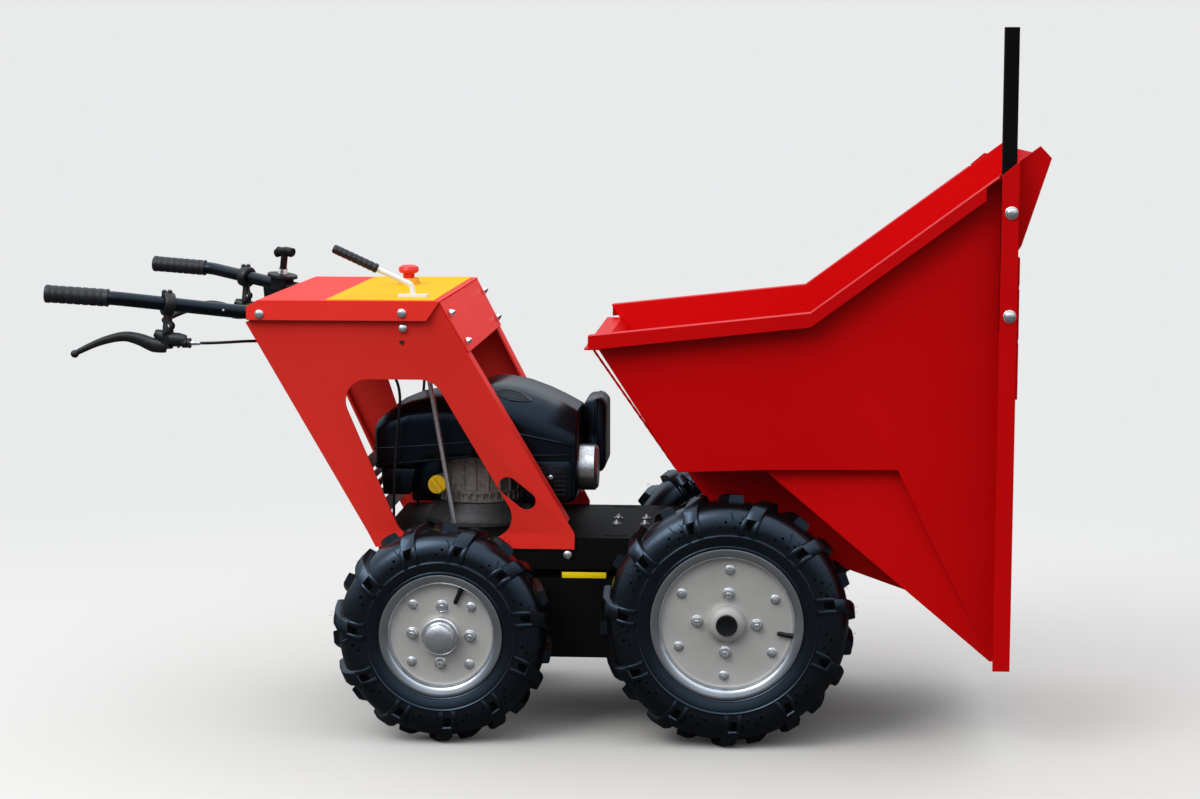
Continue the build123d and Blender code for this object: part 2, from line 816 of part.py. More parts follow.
bar_line_y = plate_y(bar_bend_z) - console_sheet - (bar_r + fit_gap) * sqrt(1 + lean**2)
plate_outline = [
    from_axle((cover_rear_dx + 4, plate_top_z)),
    from_axle((cover_front_dx - 4, plate_top_z)),
    from_axle((front_leg_foot_dx, console_bend_z)),
    from_axle((front_leg_foot_dx, console_foot_z)),
    from_axle((rear_leg_foot_dx, console_foot_z)),
    from_axle(console_rear),
    from_axle((cover_rear_dx - cover_tail + rim_sheet_t + 1, console_rear[1] + 4)),
    from_axle((cover_rear_dx - cover_tail + rim_sheet_t + 1, console_top_z - 16)),
]
window = [from_axle(p) for p in window_points]
slot_ends = [from_axle(p) for p in leg_slot]
section = [
    (foot_y, console_foot_z),
    (foot_y + console_sheet, console_foot_z),
    (foot_y + console_sheet, console_bend_z),
    (plate_top_y, plate_top_z),
    (plate_top_y - console_sheet, plate_top_z),
    (foot_y, console_bend_z),
]
front_run = (front_leg_foot_dx - cover_front_dx + 4) / (plate_top_z - console_bend_z)
rear_run = (rear_leg_foot_dx - console_rear[0]) / (console_rear[1] - console_foot_z)


def edge_strip(head, run, foot_z, thickness):
    """Side view of a flange or panel that lies against a sloping edge, from head down."""
    width = thickness * sqrt(1 + run**2)
    foot_x = head[0] + (head[1] - foot_z) * run
    return [head, (foot_x, foot_z), (foot_x + width, foot_z), (head[0] + width, head[1])]


front_edge_head = from_axle((cover_front_dx - 4, plate_top_z))
rear_edge_head = (front_axle_x + console_rear[0] + 11 * rear_run, console_rear[1] - 11)
flanges = (
    (edge_strip(front_edge_head, front_run, console_bend_z + 22, -flange_sheet), front_flange_depth),
    (edge_strip(rear_edge_head, rear_run, console_bend_z + 6, flange_sheet), rear_flange_depth),
)
for name, side in (("left", 1), ("right", -1)):
    folded = []
    for strip, depth in flanges:
        with BuildPart() as flange:
            with BuildSketch(Plane.YZ.offset(front_axle_x + console_rear[0] - 5)):
                with BuildLine():
                    Polyline(
                        (side * (foot_y - depth), console_bend_z),
                        (side * (foot_y + console_sheet), console_bend_z),
                        (side * plate_top_y, plate_top_z),
                        (side * (plate_top_y - console_sheet - depth), plate_top_z),
                        close=True,
                    )
                make_face()
            extrude(amount=front_leg_foot_dx - console_rear[0] + 10)
            add(slab(strip, -2 * console_half_width, 2 * console_half_width), mode=Mode.INTERSECT)
        folded.append(flange.part)
    with BuildPart() as console_side:
        with BuildSketch(Plane.YZ.offset(front_axle_x + console_rear[0] - 5)):
            with BuildLine():
                Polyline(*[(side * y, z) for y, z in section], close=True)
            make_face()
        extrude(amount=front_leg_foot_dx - console_rear[0] + 10)
        add(slab(plate_outline, -2 * console_half_width, 2 * console_half_width), mode=Mode.INTERSECT)
        with BuildSketch(side_view(2 * console_half_width)) as openings:
            with BuildLine():
                Polyline(*window, close=True)
            make_face()
            fillet(openings.vertices(), window_corner_r)
            with BuildLine():
                Line(*slot_ends)
            offset(amount=leg_slot_r)
        extrude(amount=4 * console_half_width, mode=Mode.SUBTRACT)
        add(folded)
    console_side.part.label = "console_side_" + name
    export_step(console_side.part, "parts/console_side_" + name + ".step")

with BuildPart() as console_envelope:
    with BuildSketch(Plane.YZ.offset(front_axle_x + console_rear[0] - 5)):
        with BuildLine():
            Polyline(
                (-foot_y + fit_gap, console_foot_z),
                (foot_y - fit_gap, console_foot_z),
                (foot_y - fit_gap, console_bend_z),
                (plate_top_y - console_sheet - fit_gap, plate_top_z),
                (-plate_top_y + console_sheet + fit_gap, plate_top_z),
                (-foot_y + fit_gap, console_bend_z),
                close=True,
            )
        make_face()
    extrude(amount=900)

cover_rear_x = front_axle_x + cover_rear_dx
cover_front_x = front_axle_x + cover_front_dx
cover_foot_z = console_top_z - cover_drop
with BuildPart() as console_cover:
    add(
        slab(
            [
                (cover_rear_x, console_top_z),
                (cover_front_x, console_top_z),
                (cover_front_x - 0.7 * cover_drop, cover_foot_z),
                (cover_rear_x - cover_tail, cover_foot_z),
                (cover_rear_x - cover_tail, console_top_z - 12),
            ],
            -console_half_width,
            console_half_width,
        )
    )
    add(
        slab(
            [
                (cover_rear_x - cover_tail + rim_sheet_t, cover_foot_z - 5),
                (cover_rear_x - cover_tail + rim_sheet_t, console_top_z - 12 - rim_sheet_t / 2),
                (cover_rear_x + rim_sheet_t / 2, console_top_z - rim_sheet_t),
                (cover_front_x + 5, console_top_z - rim_sheet_t),
                (cover_front_x + 5, cover_foot_z - 5),
            ],
            -console_half_width + rim_sheet_t,
            console_half_width - rim_sheet_t,
        ),
        mode=Mode.SUBTRACT,
    )
    for side in (1, -1):
        with BuildSketch(Plane.YZ.offset(cover_rear_x - cover_tail - 5)):
            with Locations((side * bar_line_y, bar_bend_z)):
                Circle(bar_r + 3)
            with Locations((side * bar_line_y, cover_foot_z)):
                Rectangle(2 * bar_r + 6, 2 * (bar_bend_z - cover_foot_z))
        extrude(amount=cover_tail, mode=Mode.SUBTRACT)
console_cover.part.label = "console_cover"
export_step(console_cover.part, "parts/console_cover.step")

# Front panel: from just under the cover's front edge, down on the flanges of the front legs.
panel_head = (front_edge_head[0] + fit_gap * sqrt(1 + front_run**2), plate_top_z)
with BuildPart() as console_front_panel:
    with BuildSketch(Plane.YZ.offset(cover_front_x - 60)):
        with BuildLine():
            Polyline(
                (-plate_y(front_panel_foot_z) + 3, front_panel_foot_z),
                (plate_y(front_panel_foot_z) - 3, front_panel_foot_z),
                (plate_top_y - 3, plate_top_z),
                (-plate_top_y + 3, plate_top_z),
                close=True,
            )
        make_face()
    extrude(amount=200)
    panel = edge_strip(panel_head, front_run, front_panel_foot_z, panel_t)
    add(slab(panel, -console_half_width, console_half_width), mode=Mode.INTERSECT)
console_front_panel.part.label = "console_front_panel"
export_step(console_front_panel.part, "parts/console_front_panel.step")

# Rear guard: a slotted sheet between the rear legs, behind the engine.
guard_foot = from_axle(rear_guard_foot)
guard_head = from_axle(rear_guard_head)
with BuildPart() as console_rear_guard:
    add(
        slab(
            [
                guard_foot,
                guard_head,
                (guard_head[0] - console_sheet, guard_head[1]),
                (guard_foot[0] - console_sheet, guard_foot[1]),
            ],
            -console_half_width,
            console_half_width,
        )
    )
    add(console_envelope.part, mode=Mode.INTERSECT)
    for share in (0.25, 0.42, 0.59, 0.76):
        slot_z = guard_foot[1] + share * (guard_head[1] - guard_foot[1])
        with BuildSketch(Plane.YZ.offset(guard_head[0] - 60)):
            with Locations((0, slot_z)):
                SlotOverall(260, 8)
        extrude(amount=200, mode=Mode.SUBTRACT)
console_rear_guard.part.label = "console_rear_guard"
export_step(console_rear_guard.part, "parts/console_rear_guard.step")

# Yellow instruction sheet, stop button and gear lever on the cover.
sheet_top_z = console_top_z + panel_sheet_t
with BuildPart() as instruction_sheet:
    with BuildSketch(Plane.XY.offset(console_top_z)):
        with Locations((front_axle_x + (sheet_rear_dx + sheet_front_dx) / 2, 0)):
            Rectangle(sheet_front_dx - sheet_rear_dx, 2 * (console_half_width - 10))
    extrude(amount=panel_sheet_t)
instruction_sheet.part.label = "instruction_sheet"
export_step(instruction_sheet.part, "parts/instruction_sheet.step")

stop_x = front_axle_x + stop_dx
with BuildPart() as stop_base:
    with BuildSketch(Plane.XY.offset(sheet_top_z)):
        with Locations((stop_x, stop_y)):
            Circle(22)
    extrude(amount=12, taper=12)
stop_base.part.label = "stop_base"
export_step(stop_base.part, "parts/stop_base.step")

with BuildPart() as stop_button:
    with BuildSketch(Plane(origin=(stop_x, stop_y, sheet_top_z + 12), x_dir=(1, 0, 0), z_dir=(0, -1, 0))):
        with BuildLine():
            Polyline((0, 0), (11, 0), (11, 8), (18, 11), (20, 16), (18, 22), (12, 25), (0, 26), close=True)
        make_face()
    revolve(axis=Axis((stop_x, stop_y, 0), (0, 0, 1)))
stop_button.part.label = "stop_button"
export_step(stop_button.part, "parts/stop_button.step")

lever_foot = (front_axle_x + lever_dx, lever_y, sheet_top_z)
lever_start = (lever_foot[0], lever_y, sheet_top_z + 2)
lever_knee = (lever_foot[0] - 3, lever_y, sheet_top_z + 22)
lever_tip = (lever_foot[0] - 66, lever_y, sheet_top_z + 51)
with BuildPart() as gear_lever:
    with BuildSketch(Plane.XY.offset(sheet_top_z)):
        with Locations((lever_foot[0], lever_y)):
            RectangleRounded(56, 22, 6)
    extrude(amount=5)
    with BuildLine() as rod_line:
        FilletPolyline(lever_start, lever_knee, lever_tip, radius=12)
    with BuildSketch(Plane(origin=rod_line.line @ 0, z_dir=rod_line.line % 0)):
        Circle(lever_rod_r)
    sweep(path=rod_line.line)
gear_lever.part.label = "gear_lever"
export_step(gear_lever.part, "parts/gear_lever.step")

grip_axis = Vector(*lever_tip) - Vector(*lever_knee)
with BuildPart() as gear_grip:
    with BuildSketch(Plane(origin=lever_tip, z_dir=grip_axis)):
        Circle(lever_grip_r)
    extrude(amount=lever_grip_length)
    chamfer(gear_grip.edges().filter_by(GeomType.CIRCLE), 3)
gear_grip.part.label = "gear_grip"
export_step(gear_grip.part, "parts/gear_grip.step")

# Handlebars: one bent tube along the inside of each console plate, splayed to the grip.
bar_front = front_axle_x + bar_front_dx
bar_bend = front_axle_x + bar_bend_dx
grip_end = front_axle_x + grip_end_dx
for name, side in (("left", 1), ("right", -1)):
    grip_start = Vector(grip_end + grip_length, side * (grip_end_y - 10), grip_end_z - 8)
    grip_stop = Vector(grip_end, side * grip_end_y, grip_end_z)
    grip_way = (grip_start - grip_stop).normalized()
    knee = Vector(bar_bend, side * bar_line_y, bar_bend_z)
    bar_knee = grip_start + grip_way * 14
    bar_way = (knee - bar_knee).normalized()
    with BuildPart() as handlebar:
        with BuildLine() as bar_path:
            FilletPolyline(
                (bar_front, side * bar_line_y, bar_bend_z),
                knee,
                bar_knee,
                grip_stop + grip_way * (4 + fit_gap),
                radius=60,
            )
        with BuildSketch(Plane(origin=bar_path.line @ 0, z_dir=bar_path.line % 0)):
            Circle(bar_r)
        sweep(path=bar_path.line)
    handlebar.part.label = "handlebar_" + name
    export_step(handlebar.part, "parts/handlebar_" + name + ".step")

    with BuildPart() as grip:
        with BuildSketch(Plane(origin=grip_stop, z_dir=grip_way)):
            Circle(grip_r)
        extrude(amount=(grip_start - grip_stop).length)
        with BuildSketch(Plane(origin=grip_stop, z_dir=grip_way).offset(4)):
            Circle(bar_r + fit_gap)
        extrude(amount=2 * grip_length, mode=Mode.SUBTRACT)
    grip.part.label = "grip_" + name
    export_step(grip.part, "parts/grip_" + name + ".step")

    # Brake lever: clamp ring on the bar, bracket below it and a curved blade back to the grip.
    clamp = knee - bar_way * ((knee.X - front_axle_x - clamp_dx) / bar_way.X)
    with BuildPart() as brake_lever:
        with BuildSketch(Plane(origin=clamp, z_dir=bar_way).offset(-7)):
            Circle(bar_r + 6)
        extrude(amount=14)
        blade = [(clamp.X + dx, clamp.Z + dz) for dx, dz in lever_outline]
        add(slab(blade, clamp.Y - lever_thick / 2, clamp.Y + lever_thick / 2))
        with Locations((clamp.X + lever_ball[0], clamp.Y, clamp.Z + lever_ball[1])):
            Sphere(8)
        adjuster_end = clamp + Vector(adjuster_reach, 0, -adjuster_drop)
        with BuildSketch(Plane.YZ.offset(adjuster_end.X - 40)):
            with Locations((adjuster_end.Y, adjuster_end.Z)):
                Circle(adjuster_r)
        extrude(amount=40)
        with BuildSketch(Plane(origin=clamp, z_dir=bar_way).offset(-40)):
            Circle(bar_r + fit_gap)
        extrude(amount=80, mode=Mode.SUBTRACT)
    brake_lever.part.label = "brake_lever_" + name
    export_step(brake_lever.part, "parts/brake_lever_" + name + ".step")

    # Brake cable: from the lever's adjuster into the console and down to the deck.
    with BuildPart() as brake_cable:
        inner_route = [(front_axle_x + dx, side * y, z) for dx, y, z in cable_route]
        with BuildLine() as cable_line:
            FilletPolyline(adjuster_end, adjuster_end + Vector(cable_lead, 0, 0), *inner_route, radius=30)
        with BuildSketch(Plane(origin=cable_line.line @ 0, z_dir=cable_line.line % 0)):
            Circle(cable_r)
        sweep(path=cable_line.line)
    brake_cable.part.label = "brake_cable_" + name
    export_step(brake_cable.part, "parts/brake_cable_" + name + ".step")

# Throttle control on the left bar: housing round the tube and a T handle above it.
left_knee = Vector(bar_bend, bar_line_y, bar_bend_z)
left_way = Vector(-bar_way.X, bar_way.Y, -bar_way.Z)
throttle_at = left_knee + left_way * ((front_axle_x + throttle_dx - left_knee.X) / left_way.X)
throttle_up = left_way.cross(Vector(0, 0, 1).cross(left_way)).normalized()
throttle_plane = Plane(origin=throttle_at, x_dir=left_way, z_dir=throttle_up)
with BuildPart() as throttle_control:
    with BuildSketch(throttle_plane.offset(-bar_r - 20)):
        RectangleRounded(70, 30, 10)
    with BuildSketch(throttle_plane.offset(-bar_r + 6)):
        RectangleRounded(78, 36, 10)
    loft()
    with BuildSketch(throttle_plane.offset(-bar_r)):
        RectangleRounded(40, 2 * bar_r + 8, 6)
    extrude(amount=2 * bar_r + 4)
    with BuildSketch(throttle_plane.offset(bar_r + 4)):
        Circle(throttle_disc_r)
    extrude(amount=6)
    with BuildSketch(throttle_plane.offset(bar_r + 10)):
        Circle(9)
    extrude(amount=12)
    with BuildSketch(throttle_plane.offset(bar_r + 22)):
        Circle(7)
    extrude(amount=30)
    with BuildSketch(Plane(origin=throttle_at, x_dir=throttle_up, z_dir=left_way).offset(-18)):
        with Locations((bar_r + 56, 0)):
            Circle(8)
    extrude(amount=36)
    with BuildSketch(Plane(origin=throttle_at, z_dir=left_way).offset(-60)):
        Circle(bar_r + fit_gap)
    extrude(amount=120, mode=Mode.SUBTRACT)
throttle_control.part.label = "throttle_control"
export_step(throttle_control.part, "parts/throttle_control.step")

# Engine: one vertical-shaft unit on the deck, with its cowl, tank and air cleaner.
block_x = front_axle_x + block_dx
with BuildPart() as engine_block:
    with BuildSketch(Plane.XY.offset(deck_top_z)):
        with Locations((block_x, 0)):
            Circle(block_r)
    extrude(amount=cowl_foot_z - deck_top_z - fit_gap)
    with BuildSketch(side_view(-block_r * 0.45)):
        with Locations((front_axle_x + oil_cap_dx, oil_cap_z)):
            Circle(11)
    extrude(amount=oil_cap_reach - 0.45 * block_r)
engine_block.part.label = "engine_block"
export_step(engine_block.part, "parts/engine_block.step")

with BuildPart() as oil_cap:
    with BuildSketch(side_view(-oil_cap_reach)):
        with Locations((front_axle_x + oil_cap_dx, oil_cap_z)):
            Circle(oil_cap_r)
    extrude(amount=9)
    with BuildSketch(side_view(-oil_cap_reach - 9)):
        with Locations(Location((front_axle_x + oil_cap_dx, oil_cap_z), -55)):
            SlotOverall(2 * oil_cap_r - 4, 7)
    extrude(amount=9)
oil_cap.part.label = "oil_cap"
export_step(oil_cap.part, "parts/oil_cap.step")


def crowned(outline, half, crown):
    """A prism of this outline, cut to a crown of (share of half, z) points across it."""
    with BuildPart() as block:
        add(slab([from_axle(p) for p in outline], -half, half))
        with BuildSketch(Plane.YZ):
            right = [(-half * share, z) for share, z in crown]
            with BuildLine():
                Polyline(*[(-y, z) for y, z in right], *reversed(right), close=True)
            make_face()
        extrude(amount=1000, both=True, mode=Mode.INTERSECT)
    return block.part


with BuildPart() as engine_cowl:
    add(crowned(cowl_outline, cowl_half_width, cowl_crown))
engine_cowl.part.label = "engine_cowl"
export_step(engine_cowl.part, "parts/engine_cowl.step")

with BuildPart() as fuel_tank:
    add(crowned(tank_outline, tank_half_width, tank_crown))
fuel_tank.part.label = "fuel_tank"
export_step(fuel_tank.part, "parts/fuel_tank.step")

cowl_front_x = front_axle_x + max(p[0] for p in cowl_outline)
with BuildPart() as air_cleaner:
    with BuildSketch(Plane.YZ.offset(cowl_front_x + fit_gap)):
        with Locations((cleaner_y, cleaner_foot_z + cleaner_height / 2)):
            RectangleRounded(cleaner_width, cleaner_height, 18)
    extrude(amount=cleaner_depth)
air_cleaner.part.label = "air_cleaner"
export_step(air_cleaner.part, "parts/air_cleaner.step")

with BuildPart() as starter_cap:
    with BuildSketch(Plane.YZ.offset(cowl_front_x + fit_gap)):
        with Locations((starter_y, starter_z)):
            Circle(starter_r)
    extrude(amount=starter_depth)
    chamfer(starter_cap.edges().group_by(Axis.X)[-1], 6)
starter_cap.part.label = "starter_cap"
export_step(starter_cap.part, "parts/starter_cap.step")

rod_y = lever_y + rod_offset_y
rod_head = (lever_foot[0] - 4, rod_y, console_top_z - rim_sheet_t - 1)
rod_foot = (lever_foot[0] + 70, rod_y, deck_top_z + 1)
with BuildPart() as gear_rod:
    with BuildLine() as rod_line:
        Line(rod_head, rod_foot)
    with BuildSketch(Plane(origin=rod_head, z_dir=rod_line.line % 0)):
        Circle(rod_r)
    sweep(path=rod_line.line)
gear_rod.part.label = "gear_rod"
export_step(gear_rod.part, "parts/gear_rod.step")
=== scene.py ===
import random
from math import cos, pi, radians, sin

import bmesh
import bpy
from mathutils import Matrix, Vector


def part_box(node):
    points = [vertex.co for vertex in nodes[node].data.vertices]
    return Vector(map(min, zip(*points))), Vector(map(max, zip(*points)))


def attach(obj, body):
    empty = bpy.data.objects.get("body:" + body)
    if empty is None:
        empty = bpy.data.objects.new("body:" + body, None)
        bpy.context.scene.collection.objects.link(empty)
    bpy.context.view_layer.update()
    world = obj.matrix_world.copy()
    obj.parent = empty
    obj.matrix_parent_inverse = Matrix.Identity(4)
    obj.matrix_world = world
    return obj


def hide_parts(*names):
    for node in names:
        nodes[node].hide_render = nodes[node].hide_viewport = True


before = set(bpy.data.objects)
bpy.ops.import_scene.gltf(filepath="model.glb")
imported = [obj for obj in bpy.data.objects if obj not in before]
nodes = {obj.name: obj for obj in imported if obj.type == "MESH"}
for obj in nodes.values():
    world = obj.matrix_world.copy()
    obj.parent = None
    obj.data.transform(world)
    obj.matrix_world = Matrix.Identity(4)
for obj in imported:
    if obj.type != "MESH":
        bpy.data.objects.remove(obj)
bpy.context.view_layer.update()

# Wheels: pressed steel discs bolted into rolled rims, zinc plated. The rolled flange and the
# barrel are bright, the flat disc is dull. Four flange nuts hold each disc on its hub; the
# front hub has a black plastic cap and the rear one a plated steel cup.
front_x = 0.3254
half_track = 0.2625
wheel_facts = {
    "front": {"seat": 127.0, "bolts": 6, "ring": 0.0976, "first": 3, "nuts": 0.054, "nuts_first": 3},
    "rear": {"seat": 101.6, "bolts": 4, "ring": 0.075, "first": 47, "nuts": 0.053, "nuts_first": 2},
}
# Each valve: the radii that it runs between and its angle from the top.
valves = {"front": (118, 92, 100), "rear": (92, 64, 24)}
nuts_per_hub = 4
disc_face = 0.026
hub_face = 0.046
valve_face = 0.032


def colour(code):
    """An sRGB hex code as the linear RGBA that sockets take."""
    parts = [int(code[i : i + 2], 16) / 255 for i in (1, 3, 5)]
    return (*[p / 12.92 if p <= 0.04045 else ((p + 0.055) / 1.055) ** 2.4 for p in parts], 1.0)


def mm(dx, y, z):
    """A point given in millimetres, dx from the front axle, in the shared frame."""
    return Vector((front_x + dx / 1000, y / 1000, z / 1000))


def add_node(tree, kind, inputs=None, **settings):
    """One shader node: settings are its properties, inputs its values or links by socket."""
    made = tree.nodes.new(kind)
    for name, value in settings.items():
        setattr(made, name, value)
    for name, value in (inputs or {}).items():
        socket = made.inputs[name]
        if isinstance(value, bpy.types.NodeSocket):
            tree.links.new(value, socket)
        else:
            socket.default_value = value
    return made


def finish(name, low, high, patch, detail=3.0, grain=None, edge=0.0, ramp=(0.3, 0.7), **sockets):
    """A material whose colour wanders between low and high, over patches this many mm wide.

    grain is the width in mm and the strength of the bumps that roughen the surface, drawn as
    coarse as they need to show. edge is the radius in metres over which the light turns round
    an edge. The rest are the shader's sockets.
    """
    material = bpy.data.materials.new(name)
    material.use_nodes = True
    tree = material.node_tree
    shader = tree.nodes["Principled BSDF"]
    for socket, value in sockets.items():
        shader.inputs[socket.replace("_", " ")].default_value = value
    place = add_node(tree, "ShaderNodeTexCoord").outputs["Object"]
    cloud = add_node(
        tree, "ShaderNodeTexNoise", {"Vector": place, "Scale": 1000 / patch, "Detail": detail}
    )
    grade = add_node(tree, "ShaderNodeValToRGB", {"Fac": cloud.outputs["Fac"]})
    for stop, position, code in zip(grade.color_ramp.elements, ramp, (low, high)):
        stop.position = position
        stop.color = colour(code)
    tree.links.new(grade.outputs["Color"], shader.inputs["Base Color"])
    normal = None
    if edge:
        normal = add_node(tree, "ShaderNodeBevel", {"Radius": edge}, samples=4).outputs["Normal"]
        tree.links.new(normal, shader.inputs["Normal"])
    if grain:
        width, strength = grain
        bumps = add_node(
            tree, "ShaderNodeTexNoise", {"Vector": place, "Scale": 1000 / width, "Detail": 2.0}
        )
        relief = {"Height": bumps.outputs["Fac"], "Strength": strength, "Distance": 0.001}
        if normal:
            relief["Normal"] = normal
        made = add_node(tree, "ShaderNodeBump", relief)
        tree.links.new(made.outputs["Normal"], shader.inputs["Normal"])
    return material


def piece(name, bm, coats, body, smooth=35, stands_for=None):
    """Makes an object of a bmesh, in place, riding on a body, in place of a CAD node or not."""
    mesh = bpy.data.meshes.new(name)
    bmesh.ops.recalc_face_normals(bm, faces=bm.faces)
    for edge in bm.edges:
        if len(edge.link_faces) == 2 and edge.calc_face_angle(0) > radians(smooth):
            edge.smooth = False
    for face in bm.faces:
        face.smooth = True
    bm.to_mesh(mesh)
    bm.free()
    for coat in coats if isinstance(coats, tuple) else (coats,):
        mesh.materials.append(coat)
    made = bpy.data.objects.new(name, mesh)
    bpy.context.scene.collection.objects.link(made)
    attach(made, body)
    if stands_for:
        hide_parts(stands_for)
    return made


def facing(point, direction):
    """A matrix that puts +Z along direction, at point."""
    turn = Vector(direction).to_track_quat("Z", "Y").to_matrix().to_4x4()
    return Matrix.Translation(Vector(point)) @ turn


def turned(bm, profile, place, steps=32, material=0):
    """Spins a profile of (radius, height) about +Z of place; a radius of 0 closes an end."""
    old_verts = set(bm.verts)
    old_faces = set(bm.faces) if material else None
    line = [bm.verts.new(place @ Vector((r, 0, h))) for r, h in profile]
    edges = [bm.edges.new(ends) for ends in zip(line, line[1:])]
    bmesh.ops.spin(
        bm,
        geom=line + edges,
        cent=place.translation,
        axis=place.to_3x3() @ Vector((0, 0, 1)),
        angle=2 * pi,
        steps=steps,
        use_merge=True,
    )
    bmesh.ops.remove_doubles(bm, verts=[v for v in bm.verts if v not in old_verts], dist=1e-6)
    if material:
        for face in bm.faces:
            if face not in old_faces:
                face.material_index = material


# Bright zinc on the rolled rim: smooth steel that mirrors sky and ground in soft bands.
rim_zinc = finish(
    "bright_rolled_rim", "#B9C0C8", "#D6DBE1", 55.6, 4.0, grain=(2.0, 0.02), Metallic=1.0, Roughness=0.24
)
# Dull zinc on the pressed disc: a warm even grey that hardly mirrors anything.
disc_zinc = finish(
    "dull_zinc_disc", "#B0ADA8", "#BBB8B3", 71.4, 5.0, grain=(2.4, 0.06), Metallic=0.15, Roughness=0.5
)
# Bright zinc on fasteners: a crisp, slightly blue highlight.
plated = finish("bright_zinc_plate", "#C9CCD0", "#EEF1F4", 3.85, Metallic=0.9, Roughness=0.27)
# Moulded black plastic: from a textured tool, dull with a fine grain.
plastic = finish(
    "moulded_black_plastic",
    "#08090A",
    "#101114",
    8.3,
    grain=(1.43, 0.1),
    edge=0.0008,
    Roughness=0.4,
    Specular_IOR_Level=0.3,
)


def hex_bolt(bm, point, direction, across=0.013, height=0.006, washer=0.009):
    """A hexagon head with a bevelled top and a short stud end, on a washer."""
    at = facing(point, direction)
    corner = across * 0.577
    top = height + 0.0012
    turned(bm, [(corner, 0.0012), (corner, height), (corner * 0.9, top), (0, top)], at, 6)
    turned(bm, [(washer, 0), (washer, 0.0012), (washer * 0.9, 0.0018), (0, 0.0018)], at, 24)
    stud = across * 0.3
    end = top + 0.003
    turned(bm, [(stud, top - 0.001), (stud, top + 0.002), (stud * 0.8, end), (0, end)], at, 12)


def on_wheel(middle, radius, angle, y):
    """A point on a wheel at this radius and y, angle radians round from its top."""
    return Vector((middle.x + radius * sin(angle), y, middle.z + radius * cos(angle)))


for end, facts in wheel_facts.items():
    seat = facts["seat"]
    for side, sign in (("left", 1), ("right", -1)):
        wheel = f"wheel_{end}_{side}"
        low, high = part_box(wheel)
        middle = (low + high) / 2
        middle.y = sign * half_track
        out = (0, sign, 0)
        # The section in millimetres, as radius and distance out from the wheel's middle.
        lip = [(seat + r, y) for r, y in ((-8, 29), (-7, 33), (-5.5, 37), (-3, 39.4), (1, 40.6), (6, 41.6))]
        lip += [(seat + r, y) for r, y in ((9, 42.2), (11, 41.8), (11.8, 40.2), (11.2, 38.8), (9, 38.2))]
        barrel = [(seat, 36), (seat, -36), (seat + 11, -39), (seat + 11, -42), (seat, -40.5)]
        barrel += [(seat - 4, -39), (seat - 4, 18), (seat - 8, 22)]
        hub = [(34, 22), (34, -10), (15.05, -10), (15.05, 38), (0, 38)]
        nose = [(0, 46), (20, 46), (24, 44.5), (29, 41), (32, 37.5), (33.4, 34), (34, 27.4), (36, 26.2)]
        disc = [(45, 26), (seat - 14, 26), (seat - 10.5, 26.6), (seat - 8.6, 27.6)]
        bm = bmesh.new()
        for run, material in (
            ([*nose[4:], *disc], 1),
            ([disc[-1], *lip, *barrel, *hub[:1]], 0),
            ([*hub, *nose[:5]], 1),
        ):
            turned(bm, [(r / 1000, y / 1000) for r, y in run], facing(middle, out), 96, material)
        bmesh.ops.remove_doubles(bm, verts=bm.verts, dist=1e-5)
        piece(f"{wheel}_form", bm, (rim_zinc, disc_zinc), wheel, stands_for=wheel)
        face_y = sign * (half_track + disc_face)
        bm = bmesh.new()
        for n in range(facts["bolts"]):
            a = radians(facts["first"] + n * 360 / facts["bolts"])
            spot = on_wheel(middle, facts["ring"], a, face_y)
            hex_bolt(bm, spot, out, across=0.0115, height=0.0045, washer=0.0092)
        for n in range(nuts_per_hub):
            a = radians(facts["nuts_first"] + n * 360 / nuts_per_hub)
            spot = on_wheel(middle, facts["nuts"], a, face_y)
            hex_bolt(bm, spot, out, across=0.0155, height=0.009, washer=0.0112)
        piece(f"{wheel}_bolts", bm, plated, wheel)
        bm = bmesh.new()
        hub_end = facing(middle + Vector((0, sign * hub_face, 0)), out)
        if end == "front":
            cap = [(0.0195, -0.002), (0.0195, 0.0035), (0.018, 0.005), (0.0165, 0.0045), (0, 0.0042)]
            turned(bm, cap, hub_end)
            piece(f"{wheel}_cap", bm, plastic, wheel)
        else:
            cup = [(0.034, -0.012), (0.034, -0.001), (0.032, 0.001), (0.027, 0.0015), (0.0256, 0.004)]
            cup += [(0.0256, 0.012), (0.0242, 0.0155), (0.019, 0.018), (0.010, 0.0192), (0, 0.0195)]
            turned(bm, cup, hub_end, 48)
            piece(f"{wheel}_cap", bm, plated, wheel)
        outer_r, inner_r, turn = valves[end]
        a = radians(turn)
        way = Vector((sin(a), 0, cos(a)))
        root = middle + way * (outer_r / 1000) + Vector((0, sign * valve_face, 0))
        length = (outer_r - inner_r) / 1000
        stem = [(0.0048, -0.004), (0.0048, 0.006), (0.0042, 0.008), (0.0042, length - 0.004)]
        bm = bmesh.new()
        turned(bm, [*stem, (0.003, length), (0, length)], facing(root, -way), 16)
        piece(f"{wheel}_valve", bm, plastic, wheel)

# Tyres: moulded rubber with deep bars whose feet fork on the sidewall. The rubber is nearly
# black, with a painted blue tint in its reflections. Rings, vent pits and hairs are what the mould
# leaves on it.
# Moulded rubber: black, and glossy enough on its bulge to mirror the sky as a blue band. The
# blue of that band is a painted reflection, tinted into its specular.
rubber = finish(
    "moulded_tyre_rubber_painted_sky_tint",
    "#070707",
    "#0E0E0F",
    111,
    6.0,
    grain=(3.85, 0.15),
    ramp=(0.35, 0.75),
    Roughness=0.27,
    Specular_IOR_Level=0.85,
    Specular_Tint=colour("#B4D2F2"),
)
